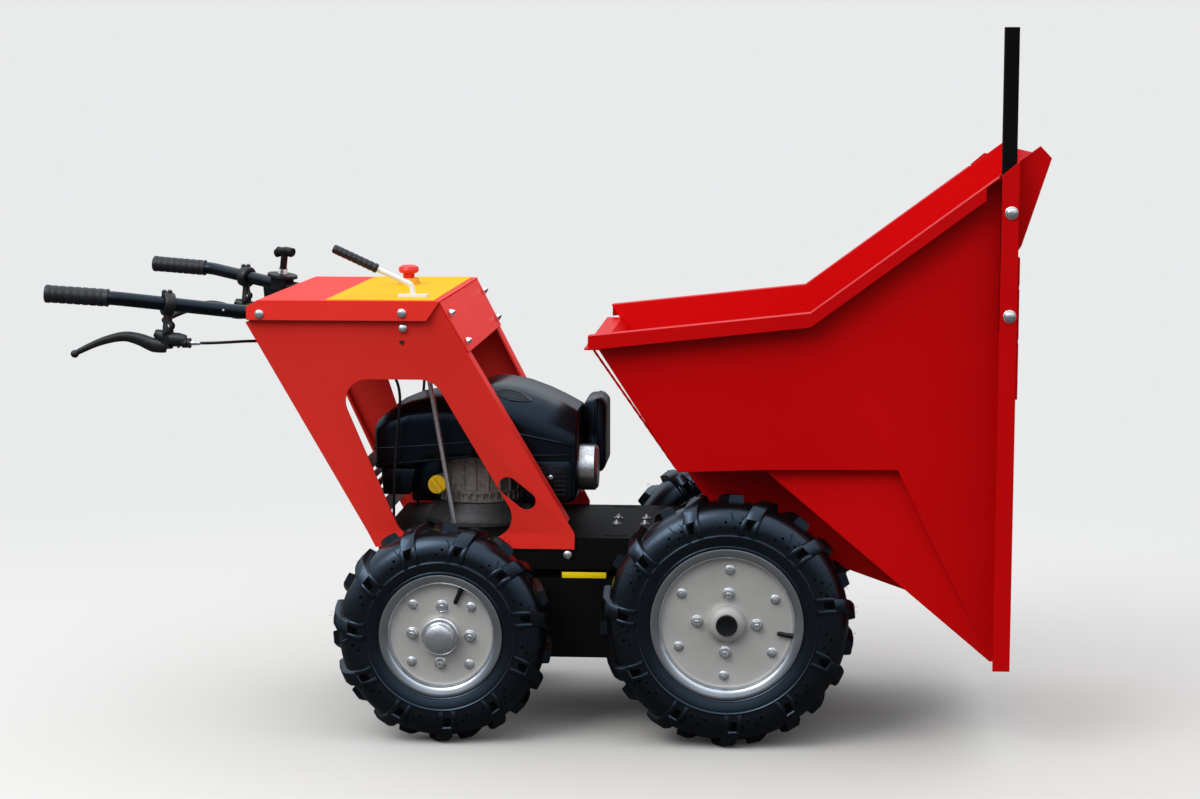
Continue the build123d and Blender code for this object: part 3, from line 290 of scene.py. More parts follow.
# The bottoms of its pits and pockets, which no light reaches.
pit_dark = finish(
    "tyre_pit_shadow", "#020202", "#050505", 11.1, Roughness=0.95, Specular_IOR_Level=0.05
)
tyre_outer_r = {"front": 232.0, "rear": 203.0}
tread_lift = 12
bead_rise = 11
bar_count = 11
bar_half_width = 16.5
bar_slant = 0.55
bar_shoulder = 4
leg_reach = 11.5
leg_half_width = 5.2
tread_half = 52.5
pits_per_bar = 5
# No hair stands under the wheel, where the ground wears it off.
hair_floor = -0.35
draw = random.Random(4)


def skin(bm, rings, closed=True):
    """A form through rings of points, one after the other, with its ends capped if closed."""
    rows = [[bm.verts.new(p) for p in ring] for ring in rings]
    for near, far in zip(rows, rows[1:]):
        for n in range(len(near)):
            m = (n + 1) % len(near)
            bm.faces.new((near[n], near[m], far[m], far[n]))
    if closed:
        bm.faces.new(rows[0][::-1])
        bm.faces.new(rows[-1])


def round_spot(a, r, y, along):
    """A point in mm on a tyre about Y at angle a, moved that many millimetres round it."""
    turn = a - along / r
    return Vector((r * cos(turn), y, -r * sin(turn)))


def carcass(bm, seat, flange_r, base_r):
    """The tyre's closed shell without its bars: beads, bead rings, sidewalls and crown."""
    depth = base_r - flange_r
    foot_r = flange_r + 0.31 * depth
    wall = [(flange_r - 9, 37.5), (flange_r - 0.5, 38.2), (flange_r + 0.6, 39.2), (flange_r + 3, 40.0)]
    wall += [(flange_r + 4, 41.2), (flange_r + 5, 41.4), (flange_r + 6, 40.6), (foot_r - 7, 45.2)]
    wall += [(foot_r - 2.6, 45.4), (foot_r - 1.4, 47.2), (foot_r, 47.8), (foot_r + 1.2, 47.0)]
    bulge = [(0.36, 46.8), (0.45, 48.0), (0.57, 47.4), (0.69, 44.8), (0.80, 40.2), (0.89, 33.6)]
    bulge += [(0.96, 24.0), (0.99, 12.0)]
    wall += [(flange_r + share * depth, y) for share, y in bulge]
    axis = Matrix.Rotation(-pi / 2, 4, "X")
    turned(bm, [*wall, (base_r, 0), *[(r, -y) for r, y in reversed(wall)]], axis, 120)
    turned(bm, [(flange_r - 9, -37.5), (seat, -35.5), (seat, 35.5), (flange_r - 9, 37.5)], axis, 60)


def bar_part(bm, a, flip, flange_r, outer_r, rows, leg):
    """One bar's body (leg 0) or one leg of its fork, through rows of (share, y, lift)."""
    depth = outer_r - tread_lift - flange_r
    shift = (tread_half + bar_shoulder) * bar_slant / 2
    rings = []
    for k, (share, y, lift) in enumerate(rows):
        r = flange_r + share * depth
        lean = min(1.0, max(0.0, (share - 0.45) / 0.5))
        top_r = min(r + lift * (0.25 + 0.75 * lean), outer_r)
        top_y = y + lift * (1 - lean)
        centre = -shift + (tread_half - y) * bar_slant + leg * leg_reach
        wide = leg_half_width if leg else bar_half_width - 0.5
        crest = wide - (1.8 if leg else 3.0)
        if not leg and share > 0.9:
            wide, crest = wide - 1.5, crest - 1.5
        if leg and k == len(rows) - 1:
            top_r, top_y = r + 2, y
        rings.append(
            [
                round_spot(a, r - 3, flip * (y - 3), centre - wide),
                round_spot(a, top_r - 1.2, flip * (top_y - 0.8), centre - crest - 0.5),
                round_spot(a, top_r, flip * top_y, centre - crest + 1.2),
                round_spot(a, top_r, flip * top_y, centre + crest - 1.2),
                round_spot(a, top_r - 1.2, flip * (top_y - 0.8), centre + crest + 0.5),
                round_spot(a, r - 3, flip * (y - 3), centre + wide),
            ]
        )
    skin(bm, rings)


def pocket(bm, a, flip, flange_r, depth):
    """The pocket between the legs of one bar's fork: a flat face in painted shadow."""
    shift = (tread_half + bar_shoulder) * bar_slant / 2
    ends = []
    for share, y, half in ((0.50, 49.2, 4.6), (0.69, 47.2, 7.0)):
        centre = -shift + (tread_half - y) * bar_slant
        r = flange_r + share * depth
        ends.append([round_spot(a, r, flip * y, centre + half * k) for k in (-1, 1)])
    (first, second), (fourth, third) = ends
    face = bm.faces.new([bm.verts.new(p) for p in (first, second, third, fourth)])
    face.material_index = 1


def mould_marks(bm, a, flip, flange_r, outer_r, depth):
    """Vent pits in painted shadow, mould lines and hairs beside one bar."""
    for k in range(pits_per_bar):
        r = flange_r + (0.50 + 0.12 * (k % 2)) * depth
        here = round_spot(a, r, flip * 47.6, 38 + 13 * k)
        turned(bm, [(2.4, -4), (2.4, 0.7), (0, 0.7)], facing(here, (0, flip, 0)), 8, 1)
    for share, along in ((0.42, 52), (0.66, 66), (0.6, 84)):
        line = []
        for j in range(4):
            y = flip * (47.6 - 2.2 * j * share)
            line.append(round_spot(a, flange_r + share * depth + j * 5, y, along))
        for near, far in zip(line, line[1:]):
            side = (far - near).cross(Vector((0, flip, 0))).normalized() * 0.7
            up = Vector((0, flip * 1.7, 0))
            skin(bm, [[p - side, p + up, p + side] for p in (near, far)])
    if -sin(a) > hair_floor:
        for k in range(2):
            root = round_spot(a, outer_r - 0.6, flip * draw.uniform(10, 34), draw.uniform(-10, 12))
            tip = root * (1 + draw.uniform(0.015, 0.028)) + Vector((0, flip * draw.uniform(0, 3), 0))
            round_hair = (Vector((0.4, 0, 0)), Vector((0, 0.4, 0.3)), Vector((-0.4, 0, -0.3)))
            skin(bm, [[p + step for step in round_hair] for p in (root, tip)])


def tyre(bm, seat, outer_r):
    """One tyre about the Y axis in millimetres: carcass, forked bars, rings, pits and hairs."""
    flange_r = seat + bead_rise
    base_r = outer_r - tread_lift
    depth = base_r - flange_r
    carcass(bm, seat, flange_r, base_r)
    # Each bar's rows: share of the way up the sidewall, y, and height over the carcass.
    run = [(0.34, 46, 4.2), (0.45, 48, 4.6), (0.57, 47.4, 5.0), (0.69, 44.8, 6.5)]
    run += [(0.80, 40.2, 9.0), (0.88, 34.4, 11.5), (0.95, 25.0, 12.2)]
    run += [(0.99, 12.0, 12.0), (1.0, -4.0, 12.0)]
    for n in range(2 * bar_count):
        flip = -1 if n % 2 else 1
        a = pi / 2 + n * pi / bar_count
        bar_part(bm, a, flip, flange_r, outer_r, run[:5], -1)
        bar_part(bm, a, flip, flange_r, outer_r, run[:5], 1)
        bar_part(bm, a, flip, flange_r, outer_r, run[3:], 0)
        pocket(bm, a, flip, flange_r, depth)
        mould_marks(bm, a, flip, flange_r, outer_r, depth)


for end, outer_r in tyre_outer_r.items():
    for side, sign in (("left", 1), ("right", -1)):
        name = f"tyre_{end}_{side}"
        wheel = f"wheel_{end}_{side}"
        low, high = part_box(wheel)
        middle = (low + high) / 2
        middle.y = sign * half_track
        bm = bmesh.new()
        tyre(bm, wheel_facts[end]["seat"], outer_r)
        turn = Matrix.Rotation(0 if sign > 0 else pi, 4, "Z")
        place = Matrix.Translation(middle) @ turn @ Matrix.Scale(0.001, 4)
        bmesh.ops.transform(bm, matrix=place, verts=bm.verts)
        # In metres now, so that the poles of the pits close.
        bmesh.ops.remove_doubles(bm, verts=bm.verts, dist=2e-7)
        piece(f"{name}_form", bm, (rubber, pit_dark), wheel, smooth=40, stands_for=name)

# Chassis: folded and welded sheet under black powder coat, with bolts through deck and rails.
# The stub axles end in welded collars. A blank yellow strip is stuck on the belly pan.
rail_half = 185.0
belly_half = 182.5
deck_top = 366.0
deck_bolt_columns = (-216, -162)
deck_bolt_rows = (-34, 30)
front_axle_z = 232
rear_axle_dx = -520
rear_axle_z = 203
# Black powder coat: a dull, even black with a slight ripple.
black_coat = finish(
    "black_powder_coat",
    "#0E0E0E",
    "#151515",
    167,
    4.0,
    grain=(4.17, 0.06),
    edge=0.0012,
    Roughness=0.5,
    IOR=1.2,
    Specular_IOR_Level=0.12,
)


def dress(coat, *names):
    """Gives a finish to whole CAD nodes."""
    for name in names:
        nodes[name].data.materials.clear()
        nodes[name].data.materials.append(coat)


dress(black_coat, "deck_plate", "chassis_rails", "belly_pan", "front_axle", "rear_axle", "pivot_arms")
dress(rubber, "tub_rest")
dress(plated, "tub_pivot_pin")


def dome_bolt(bm, point, direction, radius=0.0085, height=0.0045):
    """A mushroom head with a short straight edge, as on a coach or button-head bolt."""
    arc = [(radius * cos(a), height * (0.3 + 0.7 * sin(a))) for a in (0, 0.35, 0.7, 1.05, 1.35)]
    turned(bm, [(radius, -0.0002), *arc, (0, height)], facing(point, direction), 20)


bm = bmesh.new()
for dx in deck_bolt_columns:
    for y in deck_bolt_rows:
        hex_bolt(bm, mm(dx, y, deck_top), (0, 0, 1), across=0.010, height=0.0035, washer=0.0085)
for side in (1, -1):
    dome_bolt(bm, mm(-297, side * (rail_half + 0.8), 334), (0, side, 0), 0.0085)
    dome_bolt(bm, mm(-604, side * rail_half, 340), (0, side, 0), 0.0075)
piece("chassis_bolts", bm, plated, "chassis")


def bead(bm, points, radius, sides=8, squash=1.0):
    """A rod or weld bead of this radius, or of one radius a point, along the points."""
    rings = []
    points = [Vector(p) for p in points]
    for n, p in enumerate(points):
        way = points[min(n + 1, len(points) - 1)] - points[max(n - 1, 0)]
        r = radius[n] if isinstance(radius, (list, tuple)) else radius
        at = facing(p, way)
        turns = [2 * pi * k / sides for k in range(sides)]
        rings.append([at @ Vector((r * squash * cos(a), r * sin(a), 0)) for a in turns])
    skin(bm, rings)


def plank(bm, outline, y_one, y_two, bevel=0.0008):
    """A plate of this side view (dx, z) in mm, extruded between two y, with bevelled edges."""
    near = bm.faces.new([bm.verts.new(mm(dx, y_one, z)) for dx, z in outline])
    grown = bmesh.ops.extrude_face_region(bm, geom=[near])["geom"]
    far = [g for g in grown if isinstance(g, bmesh.types.BMVert)]
    bmesh.ops.translate(bm, verts=far, vec=(0, (y_two - y_one) / 1000, 0))
    rim = {e for v in far for e in v.link_edges}
    edges = list(rim | {e for r in rim for v in r.verts for e in v.link_edges})
    bmesh.ops.bevel(
        bm, geom=edges, affect="EDGES", offset=bevel, segments=2, profile=0.5, material=-1
    )


# Yellow vinyl film: the instruction sheet's film, painted lighter and stronger in colour as painted
# light against the shade low on the belly pan. Half matt.
strip_film_painted_bright = finish(
    "yellow_strip_film_painted_bright", "#FFDA14", "#FFE01E", 143, Roughness=0.45, Specular_IOR_Level=0.1
)
strip_outline = [(-308, 290), (-226, 290), (-226, 301), (-308, 301)]
seam_outline = [(-285.2, 308), (-283.2, 308), (-283.2, 358), (-285.2, 358)]
bm = bmesh.new()
for side in (1, -1):
    plank(bm, strip_outline, side * (belly_half + 0.1), side * (belly_half + 1.0), 0.0002)
piece("belly_strip", bm, strip_film_painted_bright, "chassis")
bm = bmesh.new()
for side in (1, -1):
    plank(bm, seam_outline, side * (rail_half - 0.5), side * (rail_half + 0.7), 0.0003)
    for x in (-606, 6):
        bead(bm, [mm(x + 8 * k, side * (rail_half - 3), 306) for k in range(4)], 0.003)
collar = [(0.026, 0.006), (0.031, 0.001), (0.032, -0.001)]
for sign in (1, -1):
    for dx, z in ((0, front_axle_z), (rear_axle_dx, rear_axle_z)):
        turned(bm, collar, facing(mm(dx, sign * (rail_half - 1), z), (0, sign, 0)), 32)
piece("chassis_welds", bm, black_coat, "chassis")

# Tub: sheet steel, bent and welded, under gloss red powder coat. Weld beads run down the inside
# corners, and two coach bolts hold the handle in the folded edge of the front plate.
# Red powder coat: a deep even red with a broad soft sheen and the slight ripple of powder.
red_coat = finish(
    "red_powder_coat",
    "#CE0508",
    "#D6090B",
    333,
    grain=(5.9, 0.04),
    edge=0.0016,
    Roughness=0.36,
    IOR=1.22,
    Specular_IOR_Level=0.3,
    Coat_Weight=0.03,
    Coat_Roughness=0.2,
)
dress(
    red_coat,
    "tub_chute",
    "tub_rear_panel",
    "tub_lip",
    "tub_keel",
    "tub_side_left",
    "tub_side_right",
    "tub_rims",
    "tub_front_plate",
    "tub_apron",
)
dress(black_coat, "tub_handle")
handle_dx = 489
handle_bolt_zs = (976, 796)
handle_bolt_y = -345
bm = bmesh.new()
for z in handle_bolt_zs:
    washer = [(0.0115, 0), (0.0115, 0.0012), (0.0105, 0.0018), (0, 0.0018)]
    turned(bm, washer, facing(mm(handle_dx, handle_bolt_y, z), (0, -1, 0)), 24)
    dome_bolt(bm, mm(handle_dx, handle_bolt_y - 1.6, z), (0, -1, 0), 0.0088, 0.0052)
piece("tub_handle_bolts", bm, plated, "tub")
weld_r = 0.0021
bm = bmesh.new()
for side in (1, -1):
    for start, end, count in (
        ((-240, side * 303, 728), (-92, side * 294.5, 514), 30),
        ((330, side * 296, 655), (520, side * 304, 1010), 40),
        ((-85, side * 171.5, 512), (-32, side * 171.5, 430), 14),
        ((-24, side * 171.5, 426), (320, side * 171.5, 401), 40),
    ):
        start, end = Vector(start), Vector(end)
        line = [start.lerp(end, k / count) for k in range(count + 1)]
        bead(bm, [mm(*p) for p in line], [weld_r + 0.0005 * (k % 2) for k in range(count + 1)], 6)
piece("tub_welds", bm, red_coat, "tub")

# Console: bent red plates, a folded cover and a front panel, held by button-head bolts. The
# guard behind the engine is in shade all day and looks darker.
# Console powder coat: a lighter, slightly orange red, half matt.
console_red = finish(
    "console_red_powder_coat",
    "#F4342A",
    "#FA3A30",
    250,
    grain=(5.26, 0.04),
    edge=0.0014,
    Roughness=0.42,
    IOR=1.2,
    Specular_IOR_Level=0.3,
    Coat_Weight=0.02,
    Coat_Roughness=0.25,
)
dress(console_red, "console_cover", "console_front_panel")
# The same coat in the shade: a dark wine red.
guard_red = finish("guard_red_powder_coat", "#6E0D0C", "#841110", 250, edge=0.001, Roughness=0.45)
dress(guard_red, "console_rear_guard")


def cut_copy(node, cutter):
    """A copy of a CAD node's mesh with the form of the bmesh cutter taken out of it."""
    whole = bmesh.new()
    whole.from_mesh(nodes[node].data)
    bmesh.ops.remove_doubles(whole, verts=whole.verts, dist=1e-6)
    copy_mesh = bpy.data.meshes.new("cut_copy")
    whole.to_mesh(copy_mesh)
    whole.free()
    copy = bpy.data.objects.new("cut_copy", copy_mesh)
    cutter_mesh = bpy.data.meshes.new("cutter")
    bmesh.ops.recalc_face_normals(cutter, faces=cutter.faces)
    cutter.to_mesh(cutter_mesh)
    cutter.free()
    cutter_object = bpy.data.objects.new("cutter", cutter_mesh)
    bpy.context.scene.collection.objects.link(copy)
    bpy.context.scene.collection.objects.link(cutter_object)
    copy.matrix_world = nodes[node].matrix_world.copy()
    cut = copy.modifiers.new("slot", "BOOLEAN")
    cut.operation = "DIFFERENCE"
    cut.solver = "EXACT"
    cut.object = cutter_object
    bpy.context.view_layer.update()
    result = copy.evaluated_get(bpy.context.evaluated_depsgraph_get())
    bm = bmesh.new()
    bm.from_mesh(result.to_mesh())
    bm.transform(copy.matrix_world)
    for face in bm.faces:
        face.material_index = 0
    bpy.data.objects.remove(copy)
    bpy.data.objects.remove(cutter_object)
    return bm


# Each front leg has a rounded slot above its foot, through which the engine shows.
slot_ends = ((-405, 465), (-372, 437))
slot_r = 17.5
slot_reach = (160, 260)
slot_steps = 12
slot_outline = []
for (dx, z), start in zip(slot_ends, (50, 230)):
    turns = [radians(start + 180 * k / slot_steps) for k in range(slot_steps + 1)]
    slot_outline += [(dx + slot_r * cos(a), z + slot_r * sin(a)) for a in turns]
for name, side in (("left", 1), ("right", -1)):
    cutter = bmesh.new()
    skin(cutter, [[mm(dx, side * y, z) for dx, z in slot_outline] for y in slot_reach])
    bm = cut_copy(f"console_side_{name}", cutter)
    piece(f"console_side_{name}_form", bm, console_red, "chassis", stands_for=f"console_side_{name}")


def plate_y(z):
    """Outer face of a console side plate at height z, in millimetres."""
    return 190.3 + max(0.0, z - 374) * 0.21716


cover_half = 288
panel_lean = Vector((0.88, 0, 0.47))
bm = bmesh.new()
for side in (1, -1):
    for dx, z in ((-846, 787), (-587, 790)):
        dome_bolt(bm, mm(dx, side * cover_half, z), (0, side, 0), 0.0086, 0.005)
    dome_bolt(bm, mm(-587, side * plate_y(763), 763), (0, side, 0.2), 0.0086, 0.005)
for z, y in ((788, 253.98), (736, 241.53)):
    for side in (-1, 1):
        head = mm(-519 + (808.7 - z) * 0.547 + 5.5, side * y, z)
        hex_bolt(bm, head, panel_lean, across=0.011, height=0.0045, washer=0.008)
piece("console_bolts", bm, plated, "chassis")
# Painted shade: a nearly black disc in place of the inside of an empty bolt hole.
hole_painted_shade = finish("bolt_hole_painted_shade", "#160404", "#1E0606", 25, Roughness=0.8)
hole_z = 737
bm = bmesh.new()
for side in (1, -1):
    spot = mm(-590, side * (plate_y(hole_z) + 0.5), hole_z)
    turned(bm, [(0.0046, 0), (0.0042, 0.0004), (0, 0.0004)], facing(spot, (0, side, 0.22)), 20)
piece("console_holes", bm, hole_painted_shade, "chassis")

# Instruction sheet: a film stuck on the console cover under a clear laminate. Its print is left
# out.
# Laminated film: a warm yellow with a satin face.
film = finish(
    "yellow_laminated_film", "#DDAE0A", "#E2B50E", 143, Roughness=0.45, IOR=1.2, Specular_IOR_Level=0.1
)
dress(film, "instruction_sheet")

# Stop button: a red mushroom head over a yellow ring, both moulded and screwed through the
# cover from below.
# Glossy plastics: clear colours with a small hard highlight.
stop_red = finish("glossy_red_plastic", "#E02222", "#E82A28", 16.7, Roughness=0.28)
ring_yellow = finish("yellow_ring_plastic", "#E6A413", "#EDB01C", 16.7, Roughness=0.35)
dress(stop_red, "stop_button")
dress(ring_yellow, "stop_base")

# Gear lever: a bent rod from a white guide plate, with a ribbed rubber grip pushed on its end.
# The plated rod below the plate goes down to the transmission.
dress(plated, "gear_rod")
# White lacquer: a warm white with a soft gloss.
lever_white = finish(
    "white_lacquered_steel", "#E3E1DD", "#F0EFEC", 12.5, edge=0.001, Roughness=0.3
)
dress(lever_white, "gear_lever")
# Grip rubber: a dull black that shows its ribs.
grip_rubber = finish("grip_rubber", "#0D0F12", "#1A1E24", 16.7, grain=(1.67, 0.15), Roughness=0.48)
lever_knee = mm(-579, -215, 835.5)
lever_tip = mm(-642, -215, 864.5)
grip_way = (lever_tip - lever_knee).normalized()
gear_grip_ribs = 7
profile = [(0.0052, -0.001), (0.0078, 0.0), (0.0088, 0.002), (0.0088, 0.006), (0.0078, 0.0075)]
for k in range(gear_grip_ribs):
    at = 0.010 + 0.010 * k
    profile += [(0.0080, at), (0.0085, at + 0.002), (0.0085, at + 0.006), (0.0080, at + 0.008)]
profile += [(0.0084, 0.082), (0.0082, 0.086), (0.0064, 0.0885), (0, 0.089)]
bm = bmesh.new()
turned(bm, profile, facing(lever_tip, grip_way), 28)
piece("gear_grip_form", bm, grip_rubber, "chassis", smooth=50, stands_for="gear_grip")

# Handlebars: bent steel tube under gloss black coat, bolted inside the console plates, with
# ribbed rubber grips. The far bar shows two button-head bolts, the near one a small rivet.
# Gloss black coat: smooth as glass, with a narrow blue line of sky along the tube. Its blue is a
# painted reflection, tinted into its specular.
bar_coat = finish(
    "gloss_black_bar_coat_painted_sky_tint",
    "#040506",
    "#08090A",
    25,
    grain=(3.33, 0.03),
    Roughness=0.26,
    Specular_Tint=colour("#BBD4F2"),
)
dress(bar_coat, "handlebar_left", "handlebar_right")
grip_end = mm(-1209, 385, 830)
grip_start = mm(-1097, 375, 822)
knee = mm(-880, 262.7, 788)
bar_knee = grip_start + (grip_start - grip_end).normalized() * 0.014
bar_way = (knee - bar_knee).normalized()
bar_r = 0.012
grip_ribs = 7
bolt_places = (-916, -870)
rivet_place = -916


def to_side(point, side):
    """The point of the left bar, or its mirror on the right bar."""
    return Vector((point[0], side * point[1], point[2]))


def on_bar(dx):
    """The point of the left bar's middle line at this dx."""
    return knee + bar_way * ((mm(dx, 0, 0).x - knee.x) / bar_way.x)


for name, side in (("left", 1), ("right", -1)):
    stop, start = to_side(grip_end, side), to_side(grip_start, side)
    way = (start - stop).normalized()
    length = (start - stop).length
    profile = [(0, 0), (0.0135, 0), (0.0158, 0.0015), (0.0163, 0.004), (0.0163, 0.008), (0.0156, 0.010)]
    for k in range(grip_ribs):
        at = 0.0125 + k * 0.0135
        profile += [(0.0150, at), (0.0158, at + 0.0008), (0.0158, at + 0.0092), (0.0150, at + 0.0102)]
    profile += [(0.0152, length - 0.0045), (0.0160, length - 0.0035), (0.0160, length - 0.0008)]
    profile += [(0.0149, length), (0.0128, length), (0.0128, 0.004), (0, 0.004)]
    bm = bmesh.new()
    turned(bm, profile, facing(stop, way), 36)
    bmesh.ops.remove_doubles(bm, verts=bm.verts, dist=1e-6)
    piece(f"grip_{name}_form", bm, grip_rubber, "chassis", smooth=40, stands_for=f"grip_{name}")

bm = bmesh.new()
near_way = Vector((bar_way.y, -bar_way.x, 0)).normalized()
for dx in bolt_places:
    dome_bolt(bm, on_bar(dx) + near_way * (bar_r + 0.0001), near_way, 0.0062, 0.0036)
rivet_way = Vector((-near_way.x, near_way.y, 0))
rivet_spot = to_side(on_bar(rivet_place), -1) + rivet_way * (bar_r + 0.0002)
dome_bolt(bm, rivet_spot, rivet_way, 0.0022, 0.0016)
piece("bar_bolts", bm, plated, "chassis")

# Brake levers: painted cast brackets clamped round the bars in two halves, with a curved
# blade on a pivot screw, a cable adjuster in front and a black sheathed cable.
# Paint over a casting: half matt black with the fine bumps of the sand under it.
cast_black = finish(
    "painted_cast_lever", "#0B0C0E", "#15171A", 11.1, grain=(2.4, 0.12), edge=0.001, Roughness=0.42
)
clamp = knee - bar_way * ((knee.x - front_x + 1.003) / bar_way.x)
# Each row is a point of the casting's middle line, dx and dz in mm from the clamp, and a radius.
neck = ((0, -14, 0.0125), (0, -24, 0.0115), (0, -36, 0.0135), (0, -48, 0.0155))
neck += ((0, -60, 0.0165), (1, -70, 0.016), (1, -80, 0.011))
hood = ((-24, -52, 0.007), (-10, -58, 0.0125), (6, -64, 0.0135), (20, -64, 0.0125), (32, -66, 0.0105))
blade = ((-4, -76, 0.0118), (-26, -74, 0.0132), (-52, -64, 0.0112), (-77, -59, 0.0092))
blade += ((-104, -63, 0.0078), (-134, -73, 0.0064), (-166, -88, 0.0052))
tip_r = 0.0075
clamp_section = [(0.0128, 0), (0.0195, 0), (0.0210, 0.0015), (0.0210, 0.0175), (0.0195, 0.019)]
clamp_section += [(0.0128, 0.019), (0.0128, 0)]
pivot_boss = [(0.009, -0.001), (0.009, 0.0016), (0.0075, 0.003), (0, 0.003)]
adjuster = [(0.0042, 0.0), (0.0042, 0.010), (0.0036, 0.011), (0.0036, 0.0165), (0, 0.0165)]


def curve(points, count=6):
    """Points of a smooth run through the given ones."""
    spots = [points[0], *points, points[-1]]
    run = []
    for a, b, c, d in zip(spots, spots[1:], spots[2:], spots[3:]):
        for k in range(count):
            t = k / count
            bend = (2 * a - 5 * b + 4 * c - d) * t**2 + (3 * b - a - 3 * c + d) * t**3
            run.append(0.5 * (2 * b + (c - a) * t + bend))
    return [*run, points[-1]]


def evened(values, count=6):
    """The values with even steps between them, one for each point that curve gives."""
    run = []
    for near_value, far_value in zip(values, values[1:]):
        run += [near_value + (far_value - near_value) * k / count for k in range(count)]
    return [*run, values[-1]]


def by_clamp(side, dx, dz, dy=0.0):
    """A point in millimetres from the clamp of one side, dy outwards."""
    return to_side(clamp, side) + Vector((dx / 1000, side * dy / 1000, dz / 1000))


for name, side in (("left", 1), ("right", -1)):
    way = Vector((bar_way.x, side * bar_way.y, bar_way.z))
    bm = bmesh.new()
    turned(bm, clamp_section, facing(to_side(clamp, side) - way * 0.0085, way), 32)
    for dx in (-5, 5):
        bead(bm, [by_clamp(side, dx, 14), by_clamp(side, dx, 24)], [0.0052, 0.0046], 12)
    for rows, squash in ((neck, 0.62), (hood, 0.75)):
        bead(bm, [by_clamp(side, dx, dz) for dx, dz, r in rows], [r for dx, dz, r in rows], 14, squash)
    blade_line = curve([by_clamp(side, dx, dz) for dx, dz, r in blade])
    bead(bm, blade_line, evened([r for dx, dz, r in blade]), 14, squash=0.62)
    ball = [(tip_r * sin(a), -tip_r * cos(a)) for a in (0.0, 0.5, 1.0, 1.57, 2.1, 2.7, pi)]
    turned(bm, ball, facing(by_clamp(side, -171, -91), (1, 0, 0)), 16)
    bead(bm, [by_clamp(side, 26, -70), by_clamp(side, 34, -70)], 0.0088, 14)
    bead(bm, [by_clamp(side, 36, -70), by_clamp(side, 41, -70)], 0.0092, 12)
    for dy in (-9.5, 9.5):
        turned(bm, pivot_boss, facing(by_clamp(side, 2, -40, dy * 0.85), (0, side * dy, 0)), 20)
    piece(f"brake_lever_{name}_form", bm, cast_black, "chassis", smooth=50, stands_for=f"brake_lever_{name}")
    bm = bmesh.new()
    dome_bolt(bm, by_clamp(side, 2, -40, 11), (0, side, 0), 0.0042, 0.0018)
    dome_bolt(bm, by_clamp(side, 2, -40, -11), (0, -side, 0), 0.0042, 0.0018)
    dome_bolt(bm, by_clamp(side, 16, -77, -10), (0, -side, 0), 0.0034, 0.0015)
    for dx in (-5, 5):
        bead(bm, [by_clamp(side, dx, 24), by_clamp(side, dx, 26)], 0.0028, 6)
    turned(bm, adjuster, facing(by_clamp(side, 41, -70), (1, 0, 0)), 16)
    piece(f"brake_lever_{name}_screws", bm, plated, "chassis")

# Brake cables: steel wire in a black sheath. Each leaves its adjuster, goes in under the cover
# and down inside the console to the deck.
# Cable sheath: extruded plastic, black and half gloss.
cable_sheath = finish("black_cable_sheath", "#0A0B0D", "#111316", 11.1, Roughness=0.4)
cable_route = ((-850, 205, 732), (-700, 165, 712), (-606, 160, 668))
cable_route += ((-618, 158, 540), (-626, 154, 450), (-626, 154, 366))
for name, side in (("left", 1), ("right", -1)):
    start = to_side(clamp, side) + Vector((0.059, 0, -0.070))
    route = [start, start + Vector((0.024, 0, 0)), *[mm(dx, side * y, z) for dx, y, z in cable_route]]
    line = bpy.data.curves.new(f"brake_cable_{name}_line", "CURVE")
    line.dimensions = "3D"
    spline = line.splines.new("NURBS")
    spline.points.add(len(route) - 1)
    for point, p in zip(spline.points, route):
        point.co = (*p, 1)
    spline.order_u = 3
    spline.use_endpoint_u = True
    spline.resolution_u = 16
    line.bevel_depth = 0.00275
    line.bevel_resolution = 3
    line.materials.append(cable_sheath)
    cable = bpy.data.objects.new(f"brake_cable_{name}_form", line)
    bpy.context.scene.collection.objects.link(cable)
    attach(cable, "chassis")
    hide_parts(f"brake_cable_{name}")

# Throttle on the left bar: a moulded housing under the tube, a thin disc and a T handle on a
# white collar above it.
throttle_at = on_bar(-920)
up = bar_way.cross(Vector((0, 0, 1)).cross(bar_way)).normalized()
post = facing(throttle_at, up)
dress(plastic, "throttle_control")
# White collar: a plain moulding, warm white and matt.
collar_white = finish("white_collar_plastic", "#DEDCD6", "#EBEAE6", 12.5, Roughness=0.45)
bm = bmesh.new()
turned(bm, [(0.0095, 0.0225), (0.0095, 0.0335), (0.0088, 0.0345), (0, 0.0345)], post, 24)
piece("throttle_collar", bm, collar_white, "chassis")
dial = [(0.0300, 0.0165), (0.0310, 0.0185), (0.0300, 0.0205), (0.018, 0.0215)]
dial += [(0.014, 0.0235), (0.010, 0.0238), (0, 0.0238)]
t_handle = ((-0.021, 0.062), (0, 0.070), (0.021, 0.071))
bm = bmesh.new()
turned(bm, dial, post, 40)
bead(bm, curve([throttle_at + up * lift + bar_way * along for along, lift in t_handle]), 0.0088, 16)
piece("throttle_details", bm, plastic, "chassis", smooth=50)

# Engine: a small upright-shaft petrol engine. Its crankcase is die cast with cooling ribs and
# its cowl, tank, louvre block and air cleaner are gloss black mouldings, the cap is steel.
# Gloss black moulding: a hard blue-white highlight of the sky over a nearly black ground. The
# blue of that highlight is a painted reflection, tinted into its specular.
cowl_black = finish(
    "gloss_black_cowl_painted_sky_tint",
    "#08090B",
    "#101216",
    33.3,
    grain=(2.4, 0.04),
    edge=0.0015,
    Roughness=0.24,
    Specular_Tint=colour("#A9C8EC"),
)
# Die-cast aluminium: a warm dull grey, rough from the die.
cast = finish(
    "die_cast_aluminium", "#7D7770", "#A39C93", 8.3, 4.0, grain=(3.33, 0.3), Metallic=0.35, Roughness=0.55
)
# The flange under it: the same metal in a darker grey.
dark_cast = finish(
    "dark_cast_flange", "#3A3B3C", "#4C4D4E", 8.3, 4.0, grain=(3.33, 0.25), Metallic=0.3, Roughness=0.5
)
